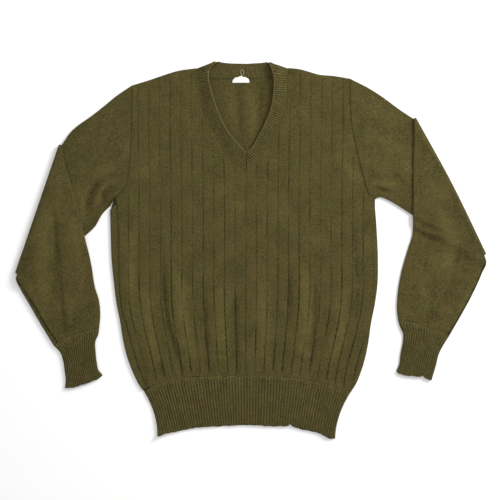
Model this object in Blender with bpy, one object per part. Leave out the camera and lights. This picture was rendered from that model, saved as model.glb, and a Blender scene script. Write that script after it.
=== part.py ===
"""A V-neck army sweater in olive wool, laid flat on its back with both sleeves folded at the elbow.

Each piece is a wall of knitted cloth, cut as it would be sewn. Sizes are in millimetres and become metres
where a mesh is made. +X is the viewer's right, +Y runs from hem to neck, and Z = 0 is the table. The
wearer's right is at -X. A curve is a function of its share of length, from 0 to 1.
"""

import math

import bmesh
import bpy
import numpy as np
from mathutils import Vector
from mathutils.geometry import delaunay_2d_cdt

# Millimetres to Blender's metres
MM = 0.001

# Cloth
WALL = 2.2
SEAM_GAP = 0.4
LAYER_GAP = 0.3
EDGE_ROUNDING = 0.9

# Layers of the body
BACK_TOP = WALL
FRONT_UNDER = BACK_TOP + LAYER_GAP
FRONT_TOP = FRONT_UNDER + WALL

# Sleeve tubes, lying flat: two walls with a narrow hollow, and the fold that turns one over
HOLLOW_HALF = 0.2
TUBE_HALF = HOLLOW_HALF + WALL
FOLD_AXIS_Z = 5.0
FOLD_RADIUS = FOLD_AXIS_Z - TUBE_HALF
LIFTED_Z = FOLD_AXIS_Z + FOLD_RADIUS
FOLD_OUTSIDE = FOLD_RADIUS + TUBE_HALF

# Roll of the back's margin and turn of the neckband, both from the back's layer to the front's
TURN_Z = FRONT_TOP / 2
TURN_INSIDE = LAYER_GAP / 2
TURN_OUTSIDE = TURN_INSIDE + WALL
ROLL_LENGTH = math.pi * (TURN_INSIDE + TURN_OUTSIDE) / 2

# Ribs
RIB_HEIGHT = 0.6
NECK_RIBS_FRONT = 48
NECK_RIBS_BACK = 38
MITRE_RIBS = 5
HEM_RIBS = 70
CUFF_RIBS = 16

# Drop-needle grooves of the front
GROOVE_PITCH = 19.7
GROOVE_CENTRE = -9.0
GROOVE_HALF_WIDTH = 1.3
GROOVE_DEPTH = 0.8
GROOVES_EACH_SIDE = 12
GROOVE_ROW = 58.0
GROOVE_END_MARGIN = 5.0

# Cut of the panels
SIDE_ROWS = 15
MARGIN_SLANT = 7.0
HEM_SECTIONS = 32
HEM_WAIST = 6.5
NECK_SPACING = 8.0
SHOULDER_SPACING = 25.0
BACK_SPACING = 60.0
FRONT_ROW_SPACING = 32.0
ON_EDGE = 0.01

# Sections and points of a cuff
CUFF_SECTIONS = (0.14, 0.34, 0.56, 0.78, 1.0)
CUFF_ARC = (60, 120)
CUFF_UNDER_POINTS = 9


def table(columns, *rows):
    """Rows of numbers as one array for each named column."""
    return dict(zip(columns.split(), np.array(rows, float).T))


def points(columns):
    """The x and y columns of a table as points."""
    return np.stack([columns["x"], columns["y"]], axis=1)


# Body sides, from hem seam to underarm: outline at -X, side seam that shows inside it, outline at +X
BODY = table(
    "y minus_edge minus_seam plus_edge",
    (-264, -197, -186, 185),
    (-250, -206, -193, 194),
    (-225, -218, -204, 204.5),
    (-200, -227.5, -212.5, 212),
    (-170, -235, -221, 218),
    (-135, -240.5, -231, 223),
    (-100, -247.5, -239, 230),
    (-60, -252.5, -242.5, 235),
    (-20, -256.5, -243.5, 235.5),
    (40, -258.5, -244.5, 233),
    (80, -259.5, -247, 230),
)

# Hem ribs, from -X to +X: seam to the body, and free edge with its worn dip at +X
HEM = table(
    "share seam_x seam_y edge_x edge_y",
    (0.00, -197, -264, -172, -344),
    (0.06, -172, -249, -152, -338.5),
    (0.13, -145, -241, -128, -334),
    (0.22, -112, -235.5, -100, -328),
    (0.35, -62, -234.3, -57, -325.8),
    (0.50, -4, -233.6, -7, -323.6),
    (0.64, 50, -234.2, 43, -326),
    (0.74, 89, -238.6, 76, -325.5),
    (0.83, 123, -244.8, 104, -333),
    (0.91, 154, -252, 130, -340),
    (0.96, 171, -259, 145, -348),
    (1.00, 185, -264, 156.5, -348.7),
)

# Armholes and shoulders, from the top down to the underarm and from the neck out
ARMHOLE_MINUS = table(
    "x y",
    (-219.5, 303),
    (-220.5, 240),
    (-222, 182),
    (-225.5, 144),
    (-231, 119),
    (-239.5, 106),
    (-250.5, 94.5),
    (-259.5, 80),
)
ARMHOLE_PLUS = table(
    "x y",
    (185, 315.5),
    (184.5, 275),
    (186, 246),
    (191.5, 208.5),
    (200, 171),
    (210.5, 130),
    (220, 102),
    (230, 93),
)
SHOULDER_MINUS = table("x y", (-99.9, 335), (-134.5, 330), (-165, 320.5), (-191.5, 311.5), (-219.5, 303))
SHOULDER_PLUS = table("x y", (69.9, 335.5), (90, 333.5), (105, 329.5), (128.5, 323), (152, 321), (185, 315.5))

# Neckband, from the point of the V up to the line where it turns over each shoulder: seam and free edge
V_SEAM_MINUS = table(
    "x y",
    (-8, 145.5),
    (-17.5, 153.5),
    (-32.5, 163.5),
    (-46, 178.5),
    (-61, 205),
    (-78, 237),
    (-89.5, 260),
    (-95, 286),
    (-99, 312.5),
    (-98.6, 332.3),
)
V_FREE_MINUS = table(
    "x y",
    (-7.2, 180),
    (-21.5, 195),
    (-40.5, 218),
    (-55.5, 246.5),
    (-69, 286),
    (-76, 312.5),
    (-75, 331),
    (-64.2, 343.4),
)
V_SEAM_PLUS = table(
    "x y",
    (-8, 145.5),
    (0.5, 155.5),
    (12, 165.5),
    (27.5, 184),
    (38.5, 208.5),
    (55.5, 240.5),
    (65, 265.5),
    (68, 293.5),
    (68.5, 320),
    (68.4, 332.6),
)
V_FREE_PLUS = table(
    "x y",
    (-7.2, 180),
    (1, 188),
    (12, 206.5),
    (27.5, 237),
    (38.5, 269),
    (41.5, 293.5),
    (41, 322),
    (34, 342),
)

# The same ring across the back, from one shoulder to the other
NECK_BACK = table(
    "share seam_x seam_y free_x free_y",
    (0.00, -98.6, 332.3, -64.2, 343.4),
    (0.09, -88, 322, -61, 345),
    (0.18, -73, 316.8, -57, 346),
    (0.34, -41.5, 315.4, -37, 344.2),
    (0.52, -6.5, 315.7, -7, 343.6),
    (0.70, 29.5, 317.7, 22, 345.2),
    (0.84, 52, 323, 30, 344.5),
    (1.00, 68.4, 332.6, 34, 342),
)

# Sleeve at -X. The silhouette of its fold runs from the elbow's top corner to its low corner
SLEEVE_MINUS = {
    "armhole": ARMHOLE_MINUS,
    "fold": table("x y", (-353.4, 194.3), (-434.8, -43.5)),
    "fold_bow": 0.0,
    "top_edge": table("x y", (-250, 282), (-265.5, 269), (-289.5, 250), (-331.5, 217.5)),
    "underarm": table("x y", (-272, 68), (-289.5, 40), (-305.5, 25.5), (-366, -9)),
    "free_edge": table(
        "x y",
        (-342.5, 155.5),
        (-331.5, 121),
        (-320, 82),
        (-306, 25),
        (-293.5, -31.5),
        (-287, -71),
        (-280.5, -91.5),
        (-277.5, -118.5),
    ),
    "outer_edge": table("x y", (-432.5, -53), (-427.5, -67.5), (-407, -104.5), (-388, -137.5)),
    "cuff_line": table("x y", (-279.4, -145), (-293, -147.3), (-318, -154.5), (-343, -164), (-363.5, -177.6)),
    "cuff_free": table("x y", (-281.5, -158), (-286, -168), (-286, -190), (-284, -208), (-280, -224)),
    "cuff_outer": table("x y", (-352, -189.5), (-346.5, -204.5), (-343.5, -224), (-341.5, -244)),
    "cuff_end": table(
        "x y", (-273, -231.6), (-280, -237.7), (-293, -243.5), (-308.5, -248.8), (-324, -254), (-343, -256.5)
    ),
}

# Sleeve at +X, folded the same way and less far
SLEEVE_PLUS = {
    "armhole": ARMHOLE_PLUS,
    "fold": table("x y", (305.3, 244), (435.5, -8.3)),
    "fold_bow": 3.5,
    "top_edge": table("x y", (224, 295), (241, 284), (276.5, 258)),
    "underarm": table("x y", (238, 97), (250.5, 93), (271, 82), (299, 64), (365, 27)),
    "free_edge": table(
        "x y",
        (302, 219),
        (300.5, 182),
        (300, 125),
        (299.5, 68.5),
        (298.5, 25),
        (291, 1),
        (277, -50),
        (272, -81.5),
        (270.5, -108),
    ),
    "outer_edge": table("x y", (434.8, -22), (427, -45.5), (407.5, -88), (384, -130.5)),
    "cuff_line": table("x y", (272.7, -131.2), (295, -134), (321, -141), (345, -150), (367, -160)),
    "cuff_free": table("x y", (277, -144.5), (282, -155), (282, -166), (277, -195), (274.5, -213.5)),
    "cuff_outer": table("x y", (356, -177.5), (348, -193.5), (343, -213.5)),
    "cuff_end": table(
        "x y", (269.5, -224), (273.5, -228), (285, -232), (301.5, -234.5), (311.5, -234.5), (334.5, -241.5)
    ),
}

# Sections of a sleeve above its fold: share of the way from armhole to fold
UPPER_SECTIONS = (0.0, 0.1, 0.24, 0.42, 0.62, 0.82, 1.0)

# Angles of the sections round the fold, from the layer below to the layer above
FOLD_ANGLES = (-45, 0, 45, 90)

# Angles of the neckband's sections where it turns over a shoulder, from front to back
TURN_ANGLES = (45, 0, -45)

# Sections beyond the fold: way from it along the free edge and the outer edge, in millimetres,
# and how much of the lift onto the upper sleeve is left
LOWER_SECTIONS = table(
    "free outer lift",
    (30, 2.5, 1),
    (70, 4.5, 1),
    (110, 6.5, 1),
    (150, 8.5, 1),
    (182, 11, 1),
    (190, 19, 0.82),
    (199, 28, 0.35),
    (208, 37, 0.06),
    (222, 52, 0),
)
REST_SHARES = (0.2, 0.45, 0.7, 0.88, 1.0)

# Places of the points across a tube, from the top or free edge to the underarm or outer edge
LANES = (0, 0.14, 0.32, 0.5, 0.68, 0.81, 0.88, 0.93, 1)
EDGE_ARC = (45, 90, 135)

# Raised folds of the body between the troughs that run down to the hem
BODY_FOLDS = table(
    "x_top y_top x_low y_low width height",
    (-196, -70, -172, -215, 14, 2.4),
    (-133, -50, -106, -215, 15, 2.6),
    (-56, -80, -52, -212, 16, 1.6),
    (22, -70, 20, -212, 18, 1.6),
    (100, -50, 92, -215, 15, 2.4),
    (166, -90, 143, -215, 14, 2.2),
)

# Raised folds of the sleeves: a gather under each arm, and past the fold the crease by the underarm seam
UNDERARM_GATHERS = table(
    "x_top y_top x_low y_low width height",
    (-247, 130, -268, 98, 9, 2.2),
    (252, 128, 262, 112, 9, 1.8),
)
SEAM_CREASES = table(
    "x_top y_top x_low y_low width height",
    (-388, 60, -378, -120, 14, 1.8),
    (372, 40, 345, -80, 15, 1.8),
)

# Label inside the back neck
LABEL_CENTRE_X = -17.8
LABEL_LOW_Y = 308.0
LABEL_HALF_WIDTH = 15.8
LABEL_HEIGHT = 13.0
LABEL_THICKNESS = 0.9
LABEL_ARC_POINTS = 15


def curve(*parts):
    """A smooth curve through points, as a function of its share of length."""
    knots_xy = np.concatenate([np.atleast_2d(part) for part in parts])
    lengths = np.linalg.norm(np.diff(knots_xy, axis=0), axis=1)
    knots = np.concatenate([[0], np.cumsum(lengths)]) / lengths.sum()
    slopes = np.gradient(knots_xy, knots, axis=0)

    def at(share):
        share = np.clip(np.asarray(share, float), 0, 1)
        low = np.clip(np.searchsorted(knots, share, side="right") - 1, 0, len(knots) - 2)
        span = (knots[low + 1] - knots[low])[..., None]
        t = (share - knots[low])[..., None] / span
        return (
            (2 * t**3 - 3 * t**2 + 1) * knots_xy[low]
            + (t**3 - 2 * t**2 + t) * span * slopes[low]
            + (3 * t**2 - 2 * t**3) * knots_xy[low + 1]
            + (t**3 - t**2) * span * slopes[low + 1]
        )

    return at


def length_of(path):
    """Length of a curve."""
    return np.linalg.norm(np.diff(path(np.linspace(0, 1, 200)), axis=0), axis=1).sum()


def sampled(path, spacing):
    """Points along a curve, about this far apart, both ends included."""
    return path(np.linspace(0, 1, max(2, round(length_of(path) / spacing) + 1)))


def shifted(path, distance):
    """A curve moved to its right by a distance."""

    def at(share):
        share = np.asarray(share, float)
        along = path(np.minimum(share + 0.01, 1)) - path(np.maximum(share - 0.01, 0))
        along /= np.linalg.norm(along, axis=-1, keepdims=True)
        right = np.stack([along[..., 1], -along[..., 0]], axis=-1)
        return path(share) + distance * right

    return at


def smooth_step(share):
    share = np.clip(share, 0, 1)
    return share * share * (3 - 2 * share)


def segment_distance(xy, start, end):
    """Distance from each point to each segment."""
    run = end - start
    ways = xy[:, None, :] - start[None]
    share = np.clip((ways * run).sum(axis=2) / (run**2).sum(axis=1), 0, 1)
    return np.linalg.norm(ways - share[..., None] * run, axis=2)


def relief(xy, folds):
    """Height that the raised folds give the cloth."""
    start = np.stack([folds["x_top"], folds["y_top"]], axis=1)
    end = np.stack([folds["x_low"], folds["y_low"]], axis=1)
    distance = segment_distance(xy, start, end)
    return (folds["height"] * np.exp(-((distance / folds["width"]) ** 2))).sum(axis=1)


def inside(xy, outline):
    """Which points lie inside a closed outline."""
    ahead = np.roll(outline, -1, axis=0)
    x, y = xy[:, None, 0], xy[:, None, 1]
    crosses = (outline[:, 1] > y) != (ahead[:, 1] > y)
    rise = np.where(ahead[:, 1] == outline[:, 1], 1, ahead[:, 1] - outline[:, 1])
    at_x = outline[:, 0] + (y - outline[:, 1]) * (ahead[:, 0] - outline[:, 0]) / rise
    return (crosses & (x < at_x)).sum(axis=1) % 2 == 1


def edge_distance(xy, outline):
    """Distance from each point to a closed outline."""
    return segment_distance(xy, outline, np.roll(outline, -1, axis=0)).min(axis=1)


def spread_points(outline, step_x, step_y, clearance):
    """Points spread evenly inside an outline, each as a line of one point."""
    low, high = outline.min(axis=0), outline.max(axis=0)
    grid = np.meshgrid(np.arange(low[0], high[0], step_x), np.arange(low[1], high[1], step_y))
    spread = np.stack([axis.ravel() for axis in grid], axis=1)
    clear = inside(spread, outline) & (edge_distance(spread, outline) > clearance)
    return spread[clear][:, None, :]


def triangulated(outline, lines):
    """Points and triangles that fill an outline and follow the lines inside it."""
    stack = [outline, *lines]
    edges = []
    first = len(outline)
    for line in lines:
        edges += [(first + i, first + i + 1) for i in range(len(line) - 1)]
        first += len(line)
    flat = [Vector(row) for row in np.concatenate(stack)]
    found = delaunay_2d_cdt(flat, edges, [range(len(outline))], 1, 1e-4)
    return np.array([tuple(v) for v in found[0]]), [tuple(face) for face in found[2]]


def rim_of(faces):
    """Edges that only one face uses, in that face's direction."""
    sides = {(a, b) for face in faces for a, b in zip(face, (*face[1:], face[0]))}
    return [(a, b) for a, b in sides if (b, a) not in sides]


def knit_material(name, colour, roughness=0.95):
    material = bpy.data.materials.new(name)
    material.use_nodes = True
    shader = material.node_tree.nodes["Principled BSDF"]
    shader.inputs["Base Color"].default_value = (*colour, 1)
    shader.inputs["Roughness"].default_value = roughness
    shader.inputs["Metallic"].default_value = 0
    return material


def wall(name, outer, inner, faces, material):
    """One closed piece of cloth: its outer face, the same face moved inwards, and the rim between them."""
    count = len(outer)
    closed = list(faces)
    closed += [tuple(count + i for i in reversed(face)) for face in faces]
    closed += [(b, a, count + a, count + b) for a, b in rim_of(faces)]
    mesh = bpy.data.meshes.new(name)
    mesh.from_pydata((np.concatenate([outer, inner]) * MM).tolist(), [], closed)
    shell = bmesh.new()
    shell.from_mesh(mesh)
    bmesh.ops.recalc_face_normals(shell, faces=shell.faces)
    shell.to_mesh(mesh)
    shell.free()
    mesh.shade_smooth()
    mesh.set_sharp_from_angle(angle=math.radians(40))
    mesh.materials.append(material)
    piece = bpy.data.objects.new(name, mesh)
    garment.objects.link(piece)
    return piece


def with_height(xy, height):
    return np.column_stack([xy, np.broadcast_to(height, len(xy))])


def grid_faces(rows, columns, closed):
    """Quads of a grid whose columns may close into a ring."""
    faces = []
    for r in range(rows - 1):
        for c in range(columns if closed else columns - 1):
            d = (c + 1) % columns
            faces.append((r * columns + c, r * columns + d, (r + 1) * columns + d, (r + 1) * columns + c))
    return faces


def hem_seam():
    return curve(np.stack([HEM["seam_x"], HEM["seam_y"]], axis=1))


def back_neck_seam():
    return curve(np.stack([NECK_BACK["seam_x"], NECK_BACK["seam_y"]], axis=1))


def armhole_cut(sleeve):
    """Edge of the panels along an armhole, with a point where each lane of the sleeve meets it."""
    path = curve(points(sleeve["armhole"]))
    inset = TUBE_HALF / np.linalg.norm(path(1.0) - path(0.0))
    return path(np.array([0, *(inset + (1 - 2 * inset) * np.array(LANES)), 1]))


def shared_top():
    """Outline that the front and back share at +X, from the underarm up to the neck."""
    shoulder = sampled(curve(points(SHOULDER_PLUS)), SHOULDER_SPACING)
    return np.concatenate([armhole_cut(SLEEVE_PLUS)[::-1], shoulder[::-1][1:]])


def neck_cut(rows, sign):
    """Edge of the front along the neckband, from the point of the V to the shoulder."""
    return sampled(shifted(curve(points(rows)), SEAM_GAP * sign), NECK_SPACING)


def shared_top_minus():
    """The same at -X, from the neck down to just above the underarm."""
    shoulder = sampled(curve(points(SHOULDER_MINUS)), SHOULDER_SPACING)
    return np.concatenate([shoulder, armhole_cut(SLEEVE_MINUS)[1:-2]])


def side_rows():
    """Rows up the body's sides: their heights, the edge at -X, the seam inside it and the edge at +X."""
    height = np.linspace(BODY["y"][0] + 1, BODY["y"][-1] - 1, SIDE_ROWS)
    columns = []
    for key in ("minus_edge", "minus_seam", "plus_edge"):
        path = curve(np.stack([BODY[key], BODY["y"]], axis=1))(np.linspace(0, 1, 100))
        columns.append(np.interp(height, path[:, 1], path[:, 0]))
    return height, *columns


def groove_path(number):
    """Plan of one groove: the grooves draw together towards the hem."""
    y = np.arange(-262.0, 345.0, 2.0)
    spread = 1 - 0.17 * smooth_step((-60 - y) / 210) ** 1.2
    drift = 2.0 * smooth_step((y - 60) / 200)
    return np.stack([GROOVE_CENTRE + drift * np.sign(number) + number * GROOVE_PITCH * spread, y], axis=1)


def groove_lines(outline):
    """Three lines for each groove: its two lips and its bottom. The bottoms' depth fades at both ends."""
    lines = []
    bottoms = []
    for number in range(-GROOVES_EACH_SIDE, GROOVES_EACH_SIDE + 1):
        path = groove_path(number)
        clear = inside(path, outline) & (edge_distance(path, outline) > GROOVE_END_MARGIN)
        breaks = np.flatnonzero(np.diff(clear.astype(int))) + 1
        runs = [run for run in np.split(np.arange(len(path)), breaks) if clear[run[0]]]
        for run in runs:
            stretch = path[run]
            if len(run) < 12:
                continue
            bottom = sampled(curve(stretch[:: len(stretch) - 1]), GROOVE_ROW)
            bottom[:, 0] = np.interp(bottom[:, 1], stretch[:, 1], stretch[:, 0])
            lines += [bottom + (GROOVE_HALF_WIDTH * side_sign, 0) for side_sign in (-1, 1)]
            bottoms.append(bottom)
    return lines, bottoms


def front_panel():
    """The front, whose edge at -X is the side seam and whose top is cut out round the neckband."""
    height, _, seam_x, plus_x = side_rows()
    minus_side = np.stack([seam_x + SEAM_GAP, height], axis=1)
    minus_side[[0, -1], 1] += MARGIN_SLANT
    hem = hem_seam()(np.linspace(0, 1, HEM_SECTIONS + 1))
    outline = np.concatenate(
        [
            hem[hem[:, 0] > minus_side[0, 0]],
            np.stack([plus_x, height], axis=1),
            shared_top(),
            neck_cut(V_SEAM_PLUS, 1)[::-1],
            neck_cut(V_SEAM_MINUS, -1),
            shared_top_minus(),
            minus_side[::-1],
        ]
    )
    lips, bottoms = groove_lines(outline)
    between = spread_points(outline, GROOVE_PITCH, FRONT_ROW_SPACING, NECK_SPACING)
    between = [point for point in between if point[0, 1] < 0]
    flat, faces = triangulated(outline, [*lips, *bottoms, *between])

    swell = relief(flat, BODY_FOLDS) * smooth_step(edge_distance(flat, outline) / SHOULDER_SPACING)
    depth = np.zeros(len(flat))
    for bottom in bottoms:
        gap = np.linalg.norm(flat[:, None] - bottom[None, 1:-1], axis=2).min(axis=1)
        depth[gap < ON_EDGE] = GROOVE_DEPTH
    rounding = EDGE_ROUNDING * (edge_distance(flat, outline) < ON_EDGE)
    outer = with_height(flat, FRONT_TOP + swell - depth - rounding)
    inner = with_height(flat, FRONT_UNDER + swell)
    wall("front_panel", outer, inner, faces, olive)


def rolled(flat, axis_x, size):
    """Cloth that passes the roll's axis goes round it and comes back on top of itself."""
    way = axis_x - flat[:, 0]
    turn = np.clip(way / ROLL_LENGTH, 0, 1) * math.pi
    back = np.maximum(way - ROLL_LENGTH, 0)
    x = np.where(way > 0, axis_x + back - size * np.sin(turn), flat[:, 0])
    return np.column_stack([x, flat[:, 1], TURN_Z - size * np.cos(turn)])


def back_panel():
    """The back, cut with a margin at -X that rolls over the edge to the side seam."""
    rows, edge_x, seam_x, plus_x = side_rows()
    axis_x = edge_x + TURN_OUTSIDE
    cut = np.stack([axis_x - ROLL_LENGTH - (seam_x - axis_x), rows], axis=1)
    cut[[0, -1], 1] += MARGIN_SLANT
    neck = sampled(shifted(back_neck_seam(), SEAM_GAP), NECK_SPACING)
    outline = np.concatenate(
        [
            cut[::-1],
            [(axis_x[0], rows[0])],
            hem_seam()(np.linspace(0, 1, HEM_SECTIONS + 1))[1:],
            np.stack([plus_x, rows], axis=1),
            shared_top(),
            neck[::-1],
            shared_top_minus(),
            [(axis_x[-1], rows[-1])],
        ]
    )
    lines = [np.stack([axis_x - step * ROLL_LENGTH, rows], axis=1)[1:-1] for step in (0, 0.25, 0.5, 0.75, 1)]
    between = spread_points(outline, BACK_SPACING, BACK_SPACING, BACK_SPACING / 4)
    flat, faces = triangulated(outline, [*lines, *between])
    axis_here = np.interp(flat[:, 1], rows, axis_x)
    outer, inner = (rolled(flat, axis_here, size) for size in (TURN_OUTSIDE, TURN_INSIDE))
    wall("back_panel", outer, inner, faces, olive)


def section(width, half):
    """Places across a flat tube, as share of its width and height over its middle, all the way round."""
    inset = TUBE_HALF / width
    reach = half / width
    lanes = inset + (1 - 2 * inset) * np.array(LANES)
    arc = np.radians(EDGE_ARC)
    share = np.concatenate([lanes, 1 - inset + reach * np.sin(arc), lanes[::-1], inset - reach * np.sin(arc)])
    height = np.concatenate(
        [np.full(len(lanes), half), half * np.cos(arc), np.full(len(lanes), -half), -half * np.cos(arc)]
    )
    return share, height


def patch(start, end, first, second):
    """Plan of a panel between four curves: start and end run across, first and second run along it."""

    def at(along_first, along_second, across):
        across = np.asarray(across, float)[:, None]
        middle = (along_first + along_second) / 2
        chord = (1 - across) * first(along_first) + across * second(along_second)
        start_bend = start(across[:, 0]) - ((1 - across) * start(0.0) + across * start(1.0))
        end_bend = end(across[:, 0]) - ((1 - across) * end(0.0) + across * end(1.0))
        return chord + (1 - middle) * start_bend + middle * end_bend

    return at


def fold_axis(sleeve):
    """Line that the sleeve turns round, inside the fold's silhouette, and the way outwards from it."""
    top, low = points(sleeve["fold"])
    along = (low - top) / np.linalg.norm(low - top)
    outwards = np.array([along[1], -along[0]]) * np.sign(top[0]) * -1
    middle = (top + low) / 2 + sleeve["fold_bow"] * outwards
    return curve(*(point - FOLD_OUTSIDE * outwards for point in (top, middle, low))), outwards


def sleeve_sections(sleeve):
    """Each section's width and the function that places its points, from the armhole to the cuff."""
    sign = np.sign(sleeve["fold"]["x"][0])
    armhole = shifted(curve(points(sleeve["armhole"])), -SEAM_GAP * sign)
    axis, outwards = fold_axis(sleeve)
    cuff_line = curve(points(sleeve["cuff_line"]))
    top_edge = curve(armhole(0.0), points(sleeve["top_edge"]), axis(0.0))
    underarm = curve(armhole(1.0), points(sleeve["underarm"]), axis(1.0))
    free_edge = curve(axis(0.0), points(sleeve["free_edge"]), cuff_line(0.0))
    outer_edge = curve(axis(1.0), points(sleeve["outer_edge"]), cuff_line(1.0))
    upper = patch(armhole, axis, top_edge, underarm)
    lower = patch(axis, cuff_line, free_edge, outer_edge)

    def upper_place(along):
        def place(share, height):
            return with_height(upper(along, along, share), TUBE_HALF + height)

        return place

    def fold_place(angle):
        def place(share, height):
            radius = (FOLD_RADIUS - height)[:, None]
            plan = axis(share) + radius * math.cos(angle) * outwards
            return with_height(plan, FOLD_AXIS_Z + radius[:, 0] * math.sin(angle))

        return place

    def lower_place(free, outer, lift):
        def place(share, height):
            level = TUBE_HALF + lift * (LIFTED_Z - TUBE_HALF)
            return with_height(lower(free, outer, share), level - height)

        return place

    def width_at(first, second, a, b):
        return float(np.linalg.norm(first(a) - second(b)))

    sections = [(width_at(top_edge, underarm, u, u), upper_place(u), 1) for u in UPPER_SECTIONS]
    fold_width = width_at(axis, axis, 0.0, 1.0)
    sections += [(fold_width, fold_place(math.radians(angle)), 0) for angle in FOLD_ANGLES]
    free_length, outer_length = length_of(free_edge), length_of(outer_edge)
    fan = [
        (free / free_length, outer / outer_length, lift)
        for free, outer, lift in zip(LOWER_SECTIONS["free"], LOWER_SECTIONS["outer"], LOWER_SECTIONS["lift"])
    ]
    free_end, outer_end, _ = fan[-1]
    fan += [(free_end + s * (1 - free_end), outer_end + s * (1 - outer_end), 0) for s in REST_SHARES]
    for free, outer, lift in fan:
        sections.append((width_at(free_edge, outer_edge, free, outer), lower_place(free, outer, lift), -1))
    return sections


def sleeve_piece(name, sleeve):
    """A tube of cloth from armhole to cuff, with the folds raised on the wall that faces up."""
    layers = {TUBE_HALF: [], HOLLOW_HALF: []}
    for width, place, facing in sleeve_sections(sleeve):
        for half, rings in layers.items():
            share, height = section(width, half)
            ring = place(share, height)
            folds = UNDERARM_GATHERS if facing > 0 else SEAM_CREASES
            rise = relief(ring[:, :2], folds) * np.sin(math.pi * np.clip(share, 0, 1)) ** 0.5
            ring[:, 2] += rise * (height * facing > 0)
            rings.append(ring)
    rows, columns = len(layers[TUBE_HALF]), len(layers[TUBE_HALF][0])
    faces = grid_faces(rows, columns, True)
    wall(name, np.concatenate(layers[TUBE_HALF]), np.concatenate(layers[HOLLOW_HALF]), faces, olive)


def cuff_piece(name, sleeve):
    """A flat ribbed tube: its ribs stand on the side that faces up."""
    start = curve(points(sleeve["cuff_line"]))
    end = curve(points(sleeve["cuff_end"]))
    free = curve(start(0.0), points(sleeve["cuff_free"]), end(0.0))
    outer_edge = curve(start(1.0), points(sleeve["cuff_outer"]), end(1.0))
    plan = patch(start, end, free, outer_edge)
    outer_rings, inner_rings = [], []
    gap_share = SEAM_GAP / length_of(free)
    for along in (gap_share, *CUFF_SECTIONS):
        width = float(np.linalg.norm(free(along) - outer_edge(along)))
        for half, rings in ((TUBE_HALF, outer_rings), (HOLLOW_HALF, inner_rings)):
            inset, reach = TUBE_HALF / width, half / width
            ribs = np.linspace(inset, 1 - inset, 2 * CUFF_RIBS + 1)
            under = np.linspace(inset, 1 - inset, CUFF_UNDER_POINTS)[::-1]
            arc = np.radians(CUFF_ARC)
            round_edge = reach * np.sin(arc)
            share = np.concatenate([ribs, 1 - inset + round_edge, under, inset - round_edge])
            crest = RIB_HEIGHT * (np.arange(len(ribs)) % 2) * (half == TUBE_HALF)
            height = np.concatenate(
                [half + crest, half * np.cos(arc), np.full(len(under), -half), -half * np.cos(arc)]
            )
            rings.append(with_height(plan(along, along, share), TUBE_HALF + height))
    faces = grid_faces(len(outer_rings), len(outer_rings[0]), True)
    wall(name, np.concatenate(outer_rings), np.concatenate(inner_rings), faces, olive_rib)


def hem_rib(name, sections, under, top, crest):
    """A welt from seam to free edge, drawn in at its sides. Every second section is a crest."""
    shares = np.linspace(0, 1, sections + 1)
    edge = np.stack([np.interp(shares, HEM["share"], HEM[key]) for key in ("edge_x", "edge_y")], axis=1)
    seam = hem_seam()(shares)
    seam += SEAM_GAP * (edge - seam) / np.linalg.norm(edge - seam, axis=1)[:, None]
    towards_side = 2 * shares - 1
    draw = np.stack([HEM_WAIST * towards_side**7, np.zeros(len(shares))], axis=1)
    heights = crest * (np.arange(len(shares)) % 2)
    if crest:
        heights[[0, -1]] = -EDGE_ROUNDING
    outer, inner = [], []
    for along in (0, 0.5, 1):
        plan = seam + along * (edge - seam) - draw * 4 * along * (1 - along)
        outer.append(with_height(plan, top + heights))
        inner.append(with_height(plan, under))
    faces = grid_faces(3, len(shares), False)
    wall(name, np.concatenate(outer), np.concatenate(inner), faces, olive_rib)


def v_columns(seam_rows, free_rows):
    """Seam and free points of the ribs' sides up one half of the V. The lowest end on the mitre line."""
    seam, free = curve(points(seam_rows)), curve(points(free_rows))
    share = np.linspace(0, 1, 2 * NECK_RIBS_FRONT + 1)
    mitre = MITRE_RIBS / NECK_RIBS_FRONT
    up_mitre = np.clip(share / mitre, 0, 1)[:, None]
    on_mitre = (1 - up_mitre) * seam(0.0) + up_mitre * free(0.0)
    on_edge = free((share - mitre) / (1 - mitre))
    return seam(share), np.where(share[:, None] < mitre, on_mitre, on_edge)


def neckband():
    """One ribbed ring: up the V at -X, over that shoulder, across the back and down the V at +X."""
    up_seam, up_free = v_columns(V_SEAM_MINUS, V_FREE_MINUS)
    down_seam, down_free = (way[::-1] for way in v_columns(V_SEAM_PLUS, V_FREE_PLUS))
    share = np.linspace(0, 1, 2 * NECK_RIBS_BACK + 1)
    back_seam = back_neck_seam()(share)
    free_x, free_y = (np.interp(share, NECK_BACK["share"], NECK_BACK[key]) for key in ("free_x", "free_y"))
    back_free = np.stack([free_x, free_y], axis=1)
    turn = len(TURN_ANGLES)
    seam = np.concatenate([up_seam, [up_seam[-1]] * turn, back_seam, [down_seam[0]] * turn, down_seam])
    free = np.concatenate([up_free, [up_free[-1]] * turn, back_free, [down_free[0]] * turn, down_free])
    front, back = [90] * len(up_seam), [-90] * len(share)
    angle = np.radians(np.array([*front, *TURN_ANGLES, *back, *TURN_ANGLES[::-1], *front], float))
    up, across = np.arange(len(up_seam)) % 2, np.arange(len(share)) % 2
    crest = np.array([*up, *[0] * turn, *across, *[0] * turn, *up[::-1]], float)

    square = (free - seam)[:, ::-1] * (-1, 1)
    length = np.maximum(np.linalg.norm(square, axis=1, keepdims=True), ON_EDGE)
    outwards = square / length * np.where(square[:, 1:] < 0, -1, 1)
    frontness = (1 + np.sin(angle)) / 2
    sides = []
    for radius in (
        TURN_OUTSIDE + RIB_HEIGHT * crest * frontness,
        TURN_INSIDE + RIB_HEIGHT * (1 - crest) * (1 - frontness),
    ):
        reach = outwards * (radius * np.cos(angle))[:, None]
        edges = [with_height(edge + reach, TURN_Z + radius * np.sin(angle)) for edge in (seam, free)]
        sides.append(np.stack(edges, axis=1).reshape(-1, 3))
    wall("neckband", *welded(*sides, grid_faces(len(seam), 2, False)), olive_rib)


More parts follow.
